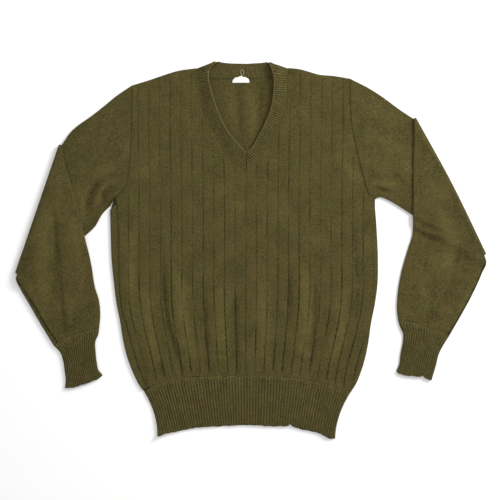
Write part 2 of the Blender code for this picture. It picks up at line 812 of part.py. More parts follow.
def welded(outer, inner, faces):
    """The same cloth with points that lie in one place made one, and the faces that collapse dropped."""
    _, first, place = np.unique(np.round(outer, 4), axis=0, return_index=True, return_inverse=True)
    place = place.ravel()
    joined = []
    for face in faces:
        corners = [int(place[i]) for i in face]
        corners = [c for i, c in enumerate(corners) if c != corners[i - 1]]
        if len(corners) > 2:
            joined.append(tuple(corners))
    return outer[first], inner[first], joined


def label():
    """A half-moon label inside the back neck."""
    angle = np.linspace(0, math.pi, LABEL_ARC_POINTS)
    across = LABEL_CENTRE_X + LABEL_HALF_WIDTH * np.cos(angle)
    outline = np.stack([across, LABEL_LOW_Y + LABEL_HEIGHT * np.sin(angle)], axis=1)
    flat, faces = triangulated(outline, [])
    under = BACK_TOP + LAYER_GAP
    wall("label", with_height(flat, under + LABEL_THICKNESS), with_height(flat, under), faces, label_white)


for thing in list(bpy.data.objects):
    bpy.data.objects.remove(thing, do_unlink=True)
garment = bpy.data.collections.new("army_sweater")
bpy.context.scene.collection.children.link(garment)
olive = knit_material("olive knit", (0.083, 0.069, 0.024))
olive_rib = knit_material("olive rib", (0.077, 0.065, 0.022))
label_white = knit_material("label white", (0.72, 0.71, 0.68), roughness=0.8)

front_panel()
back_panel()
sleeve_piece("right_sleeve", SLEEVE_MINUS)
sleeve_piece("left_sleeve", SLEEVE_PLUS)
cuff_piece("right_cuff", SLEEVE_MINUS)
cuff_piece("left_cuff", SLEEVE_PLUS)
hem_rib("hem_rib_front", 2 * HEM_RIBS, FRONT_UNDER, FRONT_TOP, RIB_HEIGHT)
hem_rib("hem_rib_back", HEM_SECTIONS, 0.0, BACK_TOP, 0.0)
neckband()
label()
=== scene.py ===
# %% [markdown]
# # A knitted army sweater, laid flat
# This lesson dresses a measured model of an old V-neck army sweater so that it looks knitted, worn and soft.
# The measured model gives the place of every panel, so the first step is to load it and to keep its box.
# Nothing is ever fitted by eye afterwards: each piece is made where the measured panel already lies.

# %% Load the measured sweater
import math

import bpy
import numpy as np
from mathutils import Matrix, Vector
from mathutils.geometry import delaunay_2d_cdt


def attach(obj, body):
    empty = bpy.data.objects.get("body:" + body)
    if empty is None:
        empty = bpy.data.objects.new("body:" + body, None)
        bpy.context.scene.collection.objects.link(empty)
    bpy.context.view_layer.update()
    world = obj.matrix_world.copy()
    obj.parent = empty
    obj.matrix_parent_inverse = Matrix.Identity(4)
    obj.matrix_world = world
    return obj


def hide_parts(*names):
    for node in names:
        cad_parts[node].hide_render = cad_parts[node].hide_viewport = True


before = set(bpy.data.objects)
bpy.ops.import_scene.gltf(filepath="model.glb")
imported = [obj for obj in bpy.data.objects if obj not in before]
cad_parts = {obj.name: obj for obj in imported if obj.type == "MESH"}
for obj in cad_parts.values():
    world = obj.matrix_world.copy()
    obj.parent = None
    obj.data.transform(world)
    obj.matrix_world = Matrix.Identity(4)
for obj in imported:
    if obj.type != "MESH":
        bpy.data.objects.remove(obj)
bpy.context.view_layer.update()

MM = 0.001
print("panels:", ", ".join(sorted(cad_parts)))

# %% [markdown]
# ## Camera, floor and light
# The sweater was photographed from straight above, so the camera hangs over it and looks down with no tilt.
# The lens follows from the width that the picture has to take in. A long lens keeps the sleeves from leaning.

# %% Camera straight above
PICTURE_WIDTH = 925 * MM
PICTURE_CENTRE = (-0.9 * MM, -0.9 * MM)
CAMERA_HEIGHT = 2200 * MM


def add_to_scene(name, data):
    """A new object that shows the given data."""
    thing = bpy.data.objects.new(name, data)
    bpy.context.scene.collection.objects.link(thing)
    return thing


camera_data = bpy.data.cameras.new("camera")
camera_data.sensor_width = 36
camera_data.lens = camera_data.sensor_width * CAMERA_HEIGHT / PICTURE_WIDTH
camera = add_to_scene("camera", camera_data)
camera.location = (*PICTURE_CENTRE, CAMERA_HEIGHT)
bpy.context.scene.camera = camera
bpy.context.scene.view_settings.view_transform = "Standard"
print("lens", round(camera_data.lens, 1), "mm")

# %% [markdown]
# A pale matt floor carries the sweater. It is one large square, so no edge of it comes into any view.

# %% Pale floor
FLOOR_HALF = 6.0
FLOOR_Z = -0.2 * MM
floor_mesh = bpy.data.meshes.new("floor")
corners = [(x * FLOOR_HALF, y * FLOOR_HALF, FLOOR_Z) for x, y in ((-1, -1), (1, -1), (1, 1), (-1, 1))]
floor_mesh.from_pydata(corners, [], [(0, 1, 2, 3)])
floor = add_to_scene("floor", floor_mesh)
floor_paint = bpy.data.materials.new("pale floor")
floor_paint.use_nodes = True
floor_shader = floor_paint.node_tree.nodes["Principled BSDF"]
floor_shader.inputs["Base Color"].default_value = (0.92, 0.92, 0.915, 1)
floor_shader.inputs["Roughness"].default_value = 0.9
floor_mesh.materials.append(floor_paint)

# %% [markdown]
# Knitwear is read by its shadows, so the light is soft but not even. A large lamp overhead fills everything,
# and a second one stands to the upper right, which gives each rib a light and a dark side.

# %% Soft studio light
LAMPS = {
    "overhead": {"place": (0.2, 0.4, 2.6), "size": 2.4, "power": 18},
    "key": {"place": (1.6, 1.3, 1.2), "size": 0.9, "power": 58},
}
WORLD_STRENGTH = 0.6


def softbox(name, place, size, power):
    """A square lamp that shines from a place towards the sweater."""
    lamp = bpy.data.lights.new(name, "AREA")
    lamp.size = size
    lamp.energy = power
    holder = add_to_scene(name, lamp)
    holder.location = place
    holder.rotation_euler = (-Vector(place)).to_track_quat("-Z", "Y").to_euler()


for name, settings in LAMPS.items():
    softbox(name, **settings)
world = bpy.data.worlds.new("studio")
world.use_nodes = True
world.node_tree.nodes["Background"].inputs["Color"].default_value = (1, 1, 1, 1)
world.node_tree.nodes["Background"].inputs["Strength"].default_value = WORLD_STRENGTH
bpy.context.scene.world = world
print("lamps:", [lamp.name for lamp in bpy.data.lights])

# %% [markdown]
# ## The knit as a material
# Plain knitting is columns of small V shapes. A column is called a wale, and one row of loops a course.
# Each piece carries a map that counts wales across and courses along, so the stitches follow the piece.
# The V of a stitch can be written with two waves: one across the wale, and one along it that leans outwards.

# %% Helpers that wire up shader nodes
WALE = 2.2
COURSE = 1.65


class Wiring:
    """A new material, and few words for adding nodes to it."""

    def __init__(self, name):
        self.material = bpy.data.materials.new(name)
        self.material.use_nodes = True
        self.tree = self.material.node_tree
        self.shader = self.tree.nodes["Principled BSDF"]

    def settle(self, values):
        """What is the same all over goes on the shader's own sockets."""
        for key, value in values.items():
            self.shader.inputs[key].default_value = value

    def add(self, kind, **settings):
        node = self.tree.nodes.new(kind)
        for key, value in settings.items():
            setattr(node, key, value)
        return node

    def link(self, source, target):
        self.tree.links.new(source, target)

    def place(self):
        return self.add("ShaderNodeTexCoord").outputs["Object"]

    def attribute(self, name):
        return self.add("ShaderNodeAttribute", attribute_name=name).outputs["Fac"]

    def apart(self, vector):
        """The X and the Y of a vector."""
        node = self.add("ShaderNodeSeparateXYZ")
        self.link(vector, node.inputs["Vector"])
        return node.outputs["X"], node.outputs["Y"]

    def stretch(self, vector, x, y):
        node = self.add("ShaderNodeVectorMath", operation="MULTIPLY")
        self.link(vector, node.inputs[0])
        node.inputs[1].default_value = (x, y, 0)
        return node.outputs[0]

    def bump(self, height, distance, strength=1.0):
        """Small relief, its distance in millimetres."""
        node = self.add("ShaderNodeBump")
        node.inputs["Strength"].default_value = strength
        node.inputs["Distance"].default_value = distance * MM
        self.link(height, node.inputs["Height"])
        self.link(node.outputs["Normal"], self.shader.inputs["Normal"])

    def math(self, operation, *values):
        """One Math node. Numbers are set on it and sockets are linked to it."""
        node = self.add("ShaderNodeMath", operation=operation)
        for socket, value in zip(node.inputs, values):
            if isinstance(value, (int, float)):
                socket.default_value = value
            else:
                self.link(value, socket)
        return node.outputs[0]

    def noise(self, place, scale, detail=2.0):
        node = self.add("ShaderNodeTexNoise")
        node.inputs["Scale"].default_value = scale
        node.inputs["Detail"].default_value = detail
        self.link(place, node.inputs["Vector"])
        return node.outputs["Fac"]

    def range(self, value, low, high, to_low, to_high):
        node = self.add("ShaderNodeMapRange")
        self.link(value, node.inputs["Value"])
        for key, number in zip(("From Min", "From Max", "To Min", "To Max"), (low, high, to_low, to_high)):
            node.inputs[key].default_value = number
        return node.outputs["Result"]

    def mix(self, share, first, second, blend="MIX"):
        node = self.add("ShaderNodeMix", data_type="RGBA", blend_type=blend)
        for socket, value in ((node.inputs[0], share), (node.inputs[6], first), (node.inputs[7], second)):
            if isinstance(value, bpy.types.NodeSocket):
                self.link(value, socket)
            elif isinstance(value, (int, float)):
                socket.default_value = value
            else:
                socket.default_value = (*value, 1)
        return node.outputs[2]


# %% [markdown]
# Wool yarn in olive is spun from fibres of several greens and browns, so its colour is never flat. Two noises
# together turn it from green to brown, and four more change how dark it is: blotches, flecks the size of a
# stitch, faint rows that follow the courses, and upright streaks. A piece also carries its own map, which is
# above 0 for dark seam lines and for painted shade in grooves and in the dips between ribs, and below 0 for
# painted highlights on rib crests and on the neckband's rim. Along the body the dark part is broken up,
# because the ladders close over here and there. Last, folds are painted paler on their ridges and darker in
# their troughs, as painted light and shade, mixed with a slow random tone. Each piece carries that tone as
# well.


# %% Uneven colour of the yarn
GREEN_TO_BROWN = (11.0, 58.0)
BLOTCHES, FLECKS, FUZZ = 80.0, 420.0, 700.0
ALONG_ROWS = (0.10, 0.42)
UPRIGHT = (0.55, 0.05)
SHARES = {"blotches": 0.42, "flecks": 2.1, "rows": 0.22, "streaks": 0.34}


def uneven_yarn(wire, place, counted, base, brown):
    """Olive that turns to brown and back, and is darker and lighter in blotches, flecks, rows and streaks."""
    turn = wire.math("ADD", *(wire.noise(place, scale) for scale in GREEN_TO_BROWN))
    wool = wire.mix(wire.range(turn, 0.74, 1.26, 0.0, 1.0), base, brown)
    # The piece's painted light and shade on its folds, with a slow random tone, is where the tone starts.
    tone = wire.math("ADD", wire.attribute("painted_fold_shade_and_mottle"), 1.0)
    noises = (
        wire.noise(place, BLOTCHES, 2.0),
        wire.noise(place, FLECKS, 1.0),
        wire.noise(wire.stretch(counted, *ALONG_ROWS), 1.0, 1.0),
        wire.noise(wire.stretch(counted, *UPRIGHT), 1.0, 1.0),
    )
    for value, share in zip(noises, SHARES.values()):
        tone = wire.math("MULTIPLY_ADD", wire.math("SUBTRACT", value, 0.5), share, tone)
    toned = wire.add("ShaderNodeVectorMath", operation="SCALE")
    wire.link(wool, toned.inputs[0])
    wire.link(tone, toned.inputs["Scale"])
    return toned.outputs[0]


# %% Knitted wool
# Tone of the painted shade in the dips between a stitch's legs.
PAINTED_DIP_SHADE_TONE = 0.42
# Tone of dark seam lines and of the painted shade in grooves and between ribs.
GROOVE_TONE = 0.22
# Tone of the painted highlights on rib crests and on the neckband's rim.
PAINTED_HIGHLIGHT_TONE = 1.9


def knitted_wool(name, base, brown, stitch_height, broken):
    """Olive wool: stitches that follow the piece's map, uneven colour, painted shade in the stitches' dips,
    and the piece's own shade map.
    """
    wire = Wiring(name)
    counted = wire.add("ShaderNodeUVMap", uv_map="stitches").outputs["UV"]
    across, along = wire.apart(counted)
    from_middle = wire.math("ABSOLUTE", wire.math("SUBTRACT", wire.math("FRACT", across), 0.5))
    leg = wire.math("SINE", wire.math("MULTIPLY", from_middle, math.tau))
    lean = wire.math("SUBTRACT", along, wire.math("MULTIPLY", from_middle, 1.5))
    loop = wire.math("COSINE", wire.math("MULTIPLY", lean, math.tau))
    stitch = wire.math("MULTIPLY", leg, wire.math("MULTIPLY_ADD", loop, 0.42, 0.58))

    place = wire.place()
    wool = uneven_yarn(wire, place, counted, base, brown)
    # Painted shade in the dips of each stitch.
    painted_dip_shading = wire.range(stitch, 0.0, 0.55, 0.6, 0.0)
    wool = wire.mix(painted_dip_shading, wool, [channel * PAINTED_DIP_SHADE_TONE for channel in base])
    # Above 0 the piece's own map holds dark seam lines and painted shade in grooves and between ribs.
    own = wire.attribute("seam_lines_and_painted_light")
    gaps = wire.noise(wire.stretch(counted, 0.12, 0.30), 1.0, 1.0)
    open_here = wire.range(gaps, 0.38, 0.58, 1.0 - broken, 1.0)
    dark = wire.math("MULTIPLY", wire.range(own, 0.0, 1.0, 0.0, 1.0), open_here)
    wool = wire.mix(dark, wool, [channel * GROOVE_TONE for channel in base])
    # Below 0 the piece's own map is a painted highlight.
    pale = wire.range(own, -1.0, 0.0, 1.0, 0.0)
    wool = wire.mix(pale, wool, [channel * PAINTED_HIGHLIGHT_TONE for channel in brown])
    wire.link(wool, wire.shader.inputs["Base Color"])
    fleck = wire.noise(place, FLECKS, 1.0)
    wire.link(wire.range(fleck, 0.3, 0.7, 0.88, 0.99), wire.shader.inputs["Roughness"])
    wire.settle({"Specular IOR Level": 0.1, "Sheen Weight": 0.05, "Sheen Roughness": 0.6})
    wire.settle({"Sheen Tint": (0.62, 0.54, 0.28, 1)})
    fuzz = wire.noise(place, FUZZ, 2.0)
    wire.bump(wire.math("MULTIPLY_ADD", fuzz, 0.6, stitch), stitch_height, 0.9)
    return wire.material


body_wool = knitted_wool("olive knit", (0.088, 0.077, 0.0225), (0.098, 0.075, 0.0235), 0.7, 0.6)
rib_wool = knitted_wool("olive rib", (0.100, 0.088, 0.027), (0.110, 0.086, 0.028), 0.6, 0.3)
print("wool:", body_wool.name, "and", rib_wool.name)

# %% [markdown]
# ## Paths, soft edges and creases
# The panels' edges are given as a few measured points, in millimetres. A curve through them is asked for by
# its share of length, so any number of points can be read from it later.


# %% Tables and curves
def table(columns, *rows):
    """Rows of numbers as one array for each named column."""
    return dict(zip(columns.split(), np.array(rows, float).T))


def points(columns, x="x", y="y"):
    """Two columns of a table as points."""
    return np.column_stack([columns[x], columns[y]])


def curve(*parts):
    """A smooth curve through points, as a function of its share of length."""
    knots_xy = np.concatenate([np.atleast_2d(part) for part in parts])
    lengths = np.linalg.norm(np.diff(knots_xy, axis=0), axis=1)
    knots = np.concatenate([[0], np.cumsum(lengths)]) / lengths.sum()
    slopes = np.gradient(knots_xy, knots, axis=0)

    def at(share):
        share = np.clip(np.asarray(share, float), 0, 1)
        low = np.clip(np.searchsorted(knots, share, side="right") - 1, 0, len(knots) - 2)
        span = (knots[low + 1] - knots[low])[..., None]
        t = (share - knots[low])[..., None] / span
        return (
            (2 * t**3 - 3 * t**2 + 1) * knots_xy[low]
            + (t**3 - 2 * t**2 + t) * span * slopes[low]
            + (3 * t**2 - 2 * t**3) * knots_xy[low + 1]
            + (t**3 - t**2) * span * slopes[low + 1]
        )

    return at


def length_of(path):
    return np.linalg.norm(np.diff(path(np.linspace(0, 1, 200)), axis=0), axis=1).sum()


def sampled(path, spacing):
    """Points along a curve, about this far apart, both ends included."""
    return path(np.linspace(0, 1, max(2, round(length_of(path) / spacing) + 1)))


def shifted(path, distance):
    """A curve moved to its right by a distance."""

    def at(share):
        share = np.asarray(share, float)
        along = path(np.minimum(share + 0.01, 1)) - path(np.maximum(share - 0.01, 0))
        along /= np.linalg.norm(along, axis=-1, keepdims=True)
        right = np.stack([along[..., 1], -along[..., 0]], axis=-1)
        return path(share) + distance * right

    return at


def smooth_step(share):
    share = np.clip(share, 0, 1)
    return share * share * (3 - 2 * share)


# %% [markdown]
# Cloth has a thickness, but its edge isn't a sharp box: both faces round over and meet. Near an edge the
# thickness therefore follows a quarter circle. Creases are soft ridges and troughs along a short path, each
# with its own width and height, because no two real creases match.

# %% Distances, rounded edges, creases and unevenness
HALF_WALL = 1.1
SEWN_RADIUS = 0.45
CHUNK = 2000


def nearest(xy, line):
    """Distance from each point to a line of points, and the share of the line where it is nearest."""
    start, run = line[:-1], np.diff(line, axis=0)
    lengths = np.linalg.norm(run, axis=1)
    before = np.cumsum(lengths) - lengths
    distance, share = np.empty(len(xy)), np.empty(len(xy))
    for first in range(0, len(xy), CHUNK):
        ways = xy[first : first + CHUNK, None] - start
        along = np.clip((ways * run).sum(axis=2) / np.maximum(lengths**2, 1e-9), 0, 1)
        gaps = np.linalg.norm(ways - along[..., None] * run, axis=2)
        closest = gaps.argmin(axis=1)
        rows = np.arange(len(closest))
        distance[first : first + CHUNK] = gaps[rows, closest]
        share[first : first + CHUNK] = before[closest] + along[rows, closest] * lengths[closest]
    return distance, share / lengths.sum()


def gap_to(xy, line):
    return nearest(xy, line)[0]


def bell(distance, reach):
    """How much a thing still acts at a distance: fully beside it, and hardly beyond its reach."""
    return np.exp(-((distance / reach) ** 2))


def edge_profile(distance, radius=HALF_WALL):
    """Share of the cloth's thickness at a distance from its edge. A sewn edge rounds over less."""
    return np.sqrt(1 - (1 - np.clip(distance / radius, 0, 1)) ** 2)


def crease_height(xy, creases):
    """Height that creases give the cloth. Each one fades out at its two ends."""
    height = np.zeros(len(xy))
    for row in zip(*creases.values()):
        path = curve(np.array(row[:6]).reshape(3, 2))(np.linspace(0, 1, 21))
        distance, share = nearest(xy, path)
        fade = np.sin(math.pi * np.clip(share, 0.02, 0.98)) ** 0.7
        height += row[7] * fade * bell(distance, row[6])
    return height


def waves(xy, wavelength, seed):
    """A smooth uneven surface, mostly between -1 and 1, and the same each time for one seed."""
    draw = np.random.default_rng(seed)
    angle, phase = draw.uniform(0, math.tau, (2, 9))
    number = math.tau / wavelength * draw.uniform(0.6, 1.5, 9)
    along = np.outer(xy[:, 0], np.cos(angle)) + np.outer(xy[:, 1], np.sin(angle))
    return np.sin(along * number + phase).sum(axis=1) / 4.2


# %% [markdown]
# Every piece is made the same way. Its two faces are one set of triangles, once on top and once below, and
# they share the points along the free edge. A map of wales and courses goes with them, with a map of dark seam
# lines, painted shade and painted highlights, and a map of painted light and shade on the folds.


# %% One closed piece of cloth
def cloth(name, node, slot, material, top, under, faces, shared, stitches, shade, painted_fold_shade_and_mottle=0.0):
    """A closed piece from its two faces. The points marked as shared belong to both."""
    painted_fold_shade_and_mottle = np.broadcast_to(painted_fold_shade_and_mottle, len(top))
    below = np.where(shared, np.arange(len(top)), len(top) + np.cumsum(~shared) - 1)
    faces = np.asarray(faces)
    closed = np.concatenate([faces, below[faces[:, ::-1]]])
    mesh = bpy.data.meshes.new(name)
    mesh.from_pydata((np.concatenate([top, under[~shared]]) * MM).tolist(), [], closed.tolist())
    counted = np.concatenate([stitches[faces], stitches[faces[:, ::-1]]]).reshape(-1, 2)
    layer = mesh.uv_layers.new(name="stitches")
    layer.data.foreach_set("uv", counted.astype(np.float32).ravel())
    for key, values in (("seam_lines_and_painted_light", shade), ("painted_fold_shade_and_mottle", painted_fold_shade_and_mottle)):
        layer = mesh.attributes.new(key, "FLOAT", "POINT")
        layer.data.foreach_set("value", np.concatenate([values, values[~shared]]).astype(np.float32))
    mesh.shade_smooth()
    mesh.materials.append(material)
    piece = add_to_scene(name, mesh)
    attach(piece, "root")
    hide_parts(node)
    print(name, len(closed), "faces")
    return piece


def area_of(middle, faces):
    """Area of a set of triangles or quads, in square metres."""
    faces = np.asarray(faces)
    corners = [middle[faces[:, i]] for i in range(faces.shape[1])]
    total = 0
    for second, third in zip(corners[1:-1], corners[2:]):
        total += np.linalg.norm(np.cross(second - corners[0], third - corners[0]), axis=1).sum() / 2
    return total * MM * MM


# Limits of the painted light and shade on folds.
FOLD_SHADING_RANGE = (-0.45, 0.36)


def painted_fold_shading(creases, strength):
    """Painted highlights on ridges and painted shade in troughs, from the height of the creases."""
    return np.clip(strength * creases, *FOLD_SHADING_RANGE)


def with_height(xy, height):
    return np.column_stack([xy, np.broadcast_to(height, len(xy))])


def extent(flat):
    """Width and length of a flat cut, in metres."""
    return tuple((flat.max(axis=0) - flat.min(axis=0)) * MM)


def laid(piece, size, area):
    """Print how a piece was cut: its size, and its area, which is at most width times length."""
    area = min(area, size[0] * size[1])
    print(piece.name, "is cut", np.round(size, 3), "m, area", round(area, 4))


# %% [markdown]
# ## Cut of the body
# The body is two panels, a front and a back. These are the measured edges that both share: the hem line,
# the sides, the armholes and the shoulders. The V of the neck is cut out of the front alone.

# %% Measured edges of the body
SEAM_GAP = -0.15
BACK_MIDDLE = 1.1
FRONT_MIDDLE = 3.6
TURN_Z = 2.35
TURN_RADIUS = 1.25
ROLL_LENGTH = math.pi * TURN_RADIUS

BODY = table(
    "y minus_edge minus_seam plus_edge",
    (-264, -197, -186, 185),
    (-250, -206, -193, 194),
    (-225, -218, -204, 204.5),
    (-200, -227.5, -212.5, 212),
    (-170, -235, -221, 218),
    (-135, -240.5, -231, 223),
    (-100, -247.5, -239, 230),
    (-60, -252.5, -242.5, 235),
    (-20, -256.5, -243.5, 235.5),
    (40, -258.5, -244.5, 233),
    (80, -259.5, -247, 230),
)
HEM = table(
    "share seam_x seam_y edge_x edge_y",
    (0.00, -197, -264, -172, -344),
    (0.06, -172, -249, -152, -338.5),
    (0.13, -145, -241, -128, -334),
    (0.22, -112, -235.5, -100, -328),
    (0.35, -62, -234.3, -57, -325.8),
    (0.50, -4, -233.6, -7, -323.6),
    (0.64, 50, -234.2, 43, -326),
    (0.74, 89, -238.6, 76, -325.5),
    (0.83, 123, -244.8, 104, -333),
    (0.91, 154, -252, 130, -340),
    (0.96, 171, -259, 145, -348),
    (1.00, 185, -264, 156.5, -348.7),
)
ARMHOLE_MINUS = table(
    "x y", (-219.5, 303), (-220.5, 240), (-222, 182), (-225.5, 144), (-231, 119), (-239.5, 106),
    (-250.5, 94.5), (-259.5, 80),
)
ARMHOLE_PLUS = table(
    "x y", (185, 315.5), (184.5, 275), (186, 246), (191.5, 208.5), (200, 171), (210.5, 130), (220, 102),
    (230, 93),
)
SHOULDER_MINUS = table("x y", (-99.9, 335), (-134.5, 330), (-165, 320.5), (-191.5, 311.5), (-219.5, 303))
SHOULDER_PLUS = table("x y", (69.9, 335.5), (90, 333.5), (105, 329.5), (128.5, 323), (152, 321), (185, 315.5))

# %% Measured edges of the neckband
V_SEAM_MINUS = table(
    "x y", (-8, 145.5), (-17.5, 153.5), (-32.5, 163.5), (-46, 178.5), (-61, 205), (-78, 237), (-89.5, 260),
    (-95, 286), (-99, 312.5), (-98.6, 332.3),
)
V_FREE_MINUS = table(
    "x y", (-7.2, 180), (-21.5, 195), (-40.5, 218), (-55.5, 246.5), (-69, 286), (-76, 312.5), (-75, 331),
    (-64.2, 343.4),
)
V_SEAM_PLUS = table(
    "x y", (-8, 145.5), (0.5, 155.5), (12, 165.5), (27.5, 184), (38.5, 208.5), (55.5, 240.5), (65, 265.5),
    (68, 293.5), (68.5, 320), (68.4, 332.6),
)
V_FREE_PLUS = table(
    "x y", (-7.2, 180), (1, 188), (12, 206.5), (27.5, 237), (38.5, 269), (41.5, 293.5), (41, 322),
    (34, 342),
)
NECK_BACK = table(
    "share seam_x seam_y free_x free_y",
    (0.00, -98.6, 332.3, -64.2, 343.4),
    (0.09, -88, 322, -61, 345),
    (0.18, -73, 316.8, -57, 346),
    (0.34, -41.5, 315.4, -37, 344.2),
    (0.52, -6.5, 315.7, -7, 343.6),
    (0.70, 29.5, 317.7, 22, 345.2),
    (0.84, 52, 323, 30, 344.5),
    (1.00, 68.4, 332.6, 34, 342),
)

# %% [markdown]
# A panel could be a plain grid, but its edge isn't one. So points are spread over the panel, the edge is
# added as a closed line, and a Delaunay triangulation joins them all. Three more rows follow just inside the
# edge, where the cloth rounds over, so the rounding is smooth.

# %% From an edge to triangles
EDGE_SPACING = 3.2
INSETS = (0.2, 0.5, 1.2)
EDGE_CLEARANCE = 2.3
ON_EDGE = 0.01


def inset(outline, distance):
    """A closed edge that runs anticlockwise, moved inwards."""
    along = np.roll(outline, -1, axis=0) - np.roll(outline, 1, axis=0)
    along /= np.linalg.norm(along, axis=1, keepdims=True)
    return outline + distance * np.column_stack([-along[:, 1], along[:, 0]])


def closed_line(outline):
    return np.concatenate([outline, outline[:1]])


def pairs(columns, rows):
    """Every crossing of the columns and the rows, as points."""
    return np.column_stack([axis.ravel() for axis in np.meshgrid(columns, rows)])


def is_inside(xy, outline):
    """Which points lie inside a closed edge."""
    found = np.empty(len(xy), bool)
    ahead = np.roll(outline, -1, axis=0)
    rise = np.where(ahead[:, 1] == outline[:, 1], 1, ahead[:, 1] - outline[:, 1])
    for first in range(0, len(xy), CHUNK):
        x, y = (xy[first : first + CHUNK, None, i] for i in (0, 1))
        crosses = (outline[:, 1] > y) != (ahead[:, 1] > y)
        at_x = outline[:, 0] + (y - outline[:, 1]) * (ahead[:, 0] - outline[:, 0]) / rise
        found[first : first + CHUNK] = (crosses & (x < at_x)).sum(axis=1) % 2 == 1
    return found


def triangles_within(outline, spread, flatten, unflatten):
    """Fill a closed edge with triangles, worked out in the plan that the two functions change to."""
    rows = [(inset(outline, distance), 0.8 * distance) for distance in INSETS]
    rows = [(row[is_inside(row, outline)], least) for row, least in [*rows, (spread, EDGE_CLEARANCE)]]
    *rows, spread = (row[gap_to(row, closed_line(outline)) > least] for row, least in rows)
    plan = flatten(np.concatenate([outline, *rows, spread]))
    found = delaunay_2d_cdt([Vector(p) for p in plan], [], [range(len(outline))], 1, 1e-5)
    flat = unflatten(np.array([tuple(v) for v in found[0]]))
    faces = np.array([tuple(face) for face in found[2]])
    return flat, faces


# %% [markdown]
# ## The front
# The front is knitted with a needle left out every nine wales. Each missing wale leaves a fine ladder, seen
# as a thin dark groove, and between two grooves the cloth swells a little. The grooves draw together towards
# the hem. It is simplest to work in a straightened plan in which every groove is upright, and to bend the
# plan to the real shape at the end.

# %% Straightened plan of the grooves
GROOVE_PITCH = 19.7
GROOVE_CENTRE = -9.0
GROOVES_EACH_SIDE = 12
WALES_BETWEEN = 9
GROOVE_COLUMNS = (-7.5, -5.2, -3.2, -1.7, -0.8, 0, 0.8, 1.7, 3.2, 5.2, 7.5, 9.85)
ROW_SPACING = 4.0


def groove_run(y):
    """Sideways drift of the grooves beside the middle one, and the room for each, at a height."""
    spread = 1 - 0.17 * smooth_step((-60 - y) / 210) ** 1.2
    return 2.0 * smooth_step((y - 60) / 200), GROOVE_PITCH * spread


def straightened(xy):
    """From the real plan to the plan with upright grooves."""
    drift, room = groove_run(xy[:, 1])
    off = xy[:, 0] - GROOVE_CENTRE
    number = off / (drift + room)
    number = np.where(abs(number) <= 1, number, (off - drift * np.sign(off)) / room)
    return np.column_stack([number * GROOVE_PITCH, xy[:, 1]])


def bent(plan):
    """From the plan with upright grooves to the real plan."""
    drift, room = groove_run(plan[:, 1])
    number = plan[:, 0] / GROOVE_PITCH
    return np.column_stack([GROOVE_CENTRE + drift * np.clip(number, -1, 1) + number * room, plan[:, 1]])


# %% Edge of the front
def hem_seam():
    return curve(points(HEM, "seam_x", "seam_y"))


def side(key):
    """One side of the body as a curve from the hem up."""
    return curve(points(BODY, key))


def edge_of(rows):
    """Points along a measured edge."""
    return sampled(curve(points(rows)), EDGE_SPACING)


def front_edges():
    """The front's edge as named stretches that run anticlockwise from the hem's end at -X."""
    seam = sampled(side("minus_seam"), EDGE_SPACING)[::-1] + (SEAM_GAP, 0)
    hem = sampled(hem_seam(), EDGE_SPACING)
    return {
        "hem": hem[hem[:, 0] > seam[-1, 0] + 2],
        "side": sampled(side("plus_edge"), EDGE_SPACING)[1:-1],
        "armhole_plus": edge_of(ARMHOLE_PLUS)[::-1],
        "shoulder_plus": edge_of(SHOULDER_PLUS)[::-1][1:],
        "neck_plus": sampled(shifted(curve(points(V_SEAM_PLUS)), SEAM_GAP), EDGE_SPACING)[::-1],
        "neck_minus": sampled(shifted(curve(points(V_SEAM_MINUS)), -SEAM_GAP), EDGE_SPACING)[1:],
        "shoulder_minus": edge_of(SHOULDER_MINUS),
        "armhole_minus": edge_of(ARMHOLE_MINUS)[1:-5],
        "seam": seam[2:-2],
    }


front_stretches = front_edges()
front_outline = np.concatenate(list(front_stretches.values()))
print("front edge:", len(front_outline), "points")

# %% [markdown]
# The front's height comes from several causes that are added up: the grooves, the swell between them, the
# folds that the drawn-in hem pushes up, small puckers along the seams, and slow unevenness from wear.
# Writing each cause as its own line keeps the numbers easy to change.

# %% Relief of the front
FRONT_CREASES = table(
    "x1 y1 x2 y2 x3 y3 width height",
    (-196, -40, -190, -140, -170, -225, 12, 3.2),
    (-138, -20, -126, -140, -105, -222, 13, 3.4),
    (-56, -60, -55, -140, -52, -218, 14, 2.6),
    (22, -50, 22, -140, 20, -216, 14, 2.6),
    (100, -30, 99, -140, 92, -222, 12, 3.3),
    (168, -60, 162, -150, 143, -224, 11, 3.2),
    (-214, 60, -222, -40, -216, -150, 9, 2.2),
    (-162.9, -2, -157, -110, -125, -236, 4.5, -2.8),
    (-170, -205, -166, -220, -160, -236, 4.0, -1.8),
    (-84, -80, -82, -170, -78, -228, 4.5, -2.0),
    (-29, -70, -28, -160, -26, -226, 4.5, -2.0),
    (71, -30, 72, -90, 70, -150, 4.5, -2.1),
    (119, -50, 117, -150, 108, -226, 4.5, -2.1),
    (190, 40, 196, -60, 190, -150, 5.0, -1.4),
    (83, -178, 92, -186, 110, -198, 5.0, 1.5),
    (76, -190, 84, -198, 100, -208, 4.0, -1.2),
    (60, 330, 72, 325, 92, 329, 3.0, -1.4),
    (48, 338, 58, 333, 69, 326, 3.5, 1.2),
    (150, 180, 176, 150, 205, 118, 16, 1.4),
    (-160, 190, -190, 150, -222, 112, 16, 1.2),
    (-60, 130, -40, 100, -20, 40, 20, 0.9),
    (30, 120, 60, 60, 66, 0, 18, 0.9),
)
GROOVE_DEPTH = 1.0
GROOVE_WIDTH = 1.0
LIP_HEIGHT = 0.25
SWELL_HEIGHT = 0.25
HEM_PUCKER = 0.75
NECK_PUCKER = 0.35
GROOVE_SHADE_WIDTH = 0.95
SEAM_TONES = {
    "armhole_plus": 1.0,
    "armhole_minus": 0.7,
    "shoulder_plus": 0.25,
    "shoulder_minus": 0.25,
    "neck_plus": 0.25,
    "neck_minus": 0.2,
    "seam": 1.0,
}
SEAM_LINE = 1.5
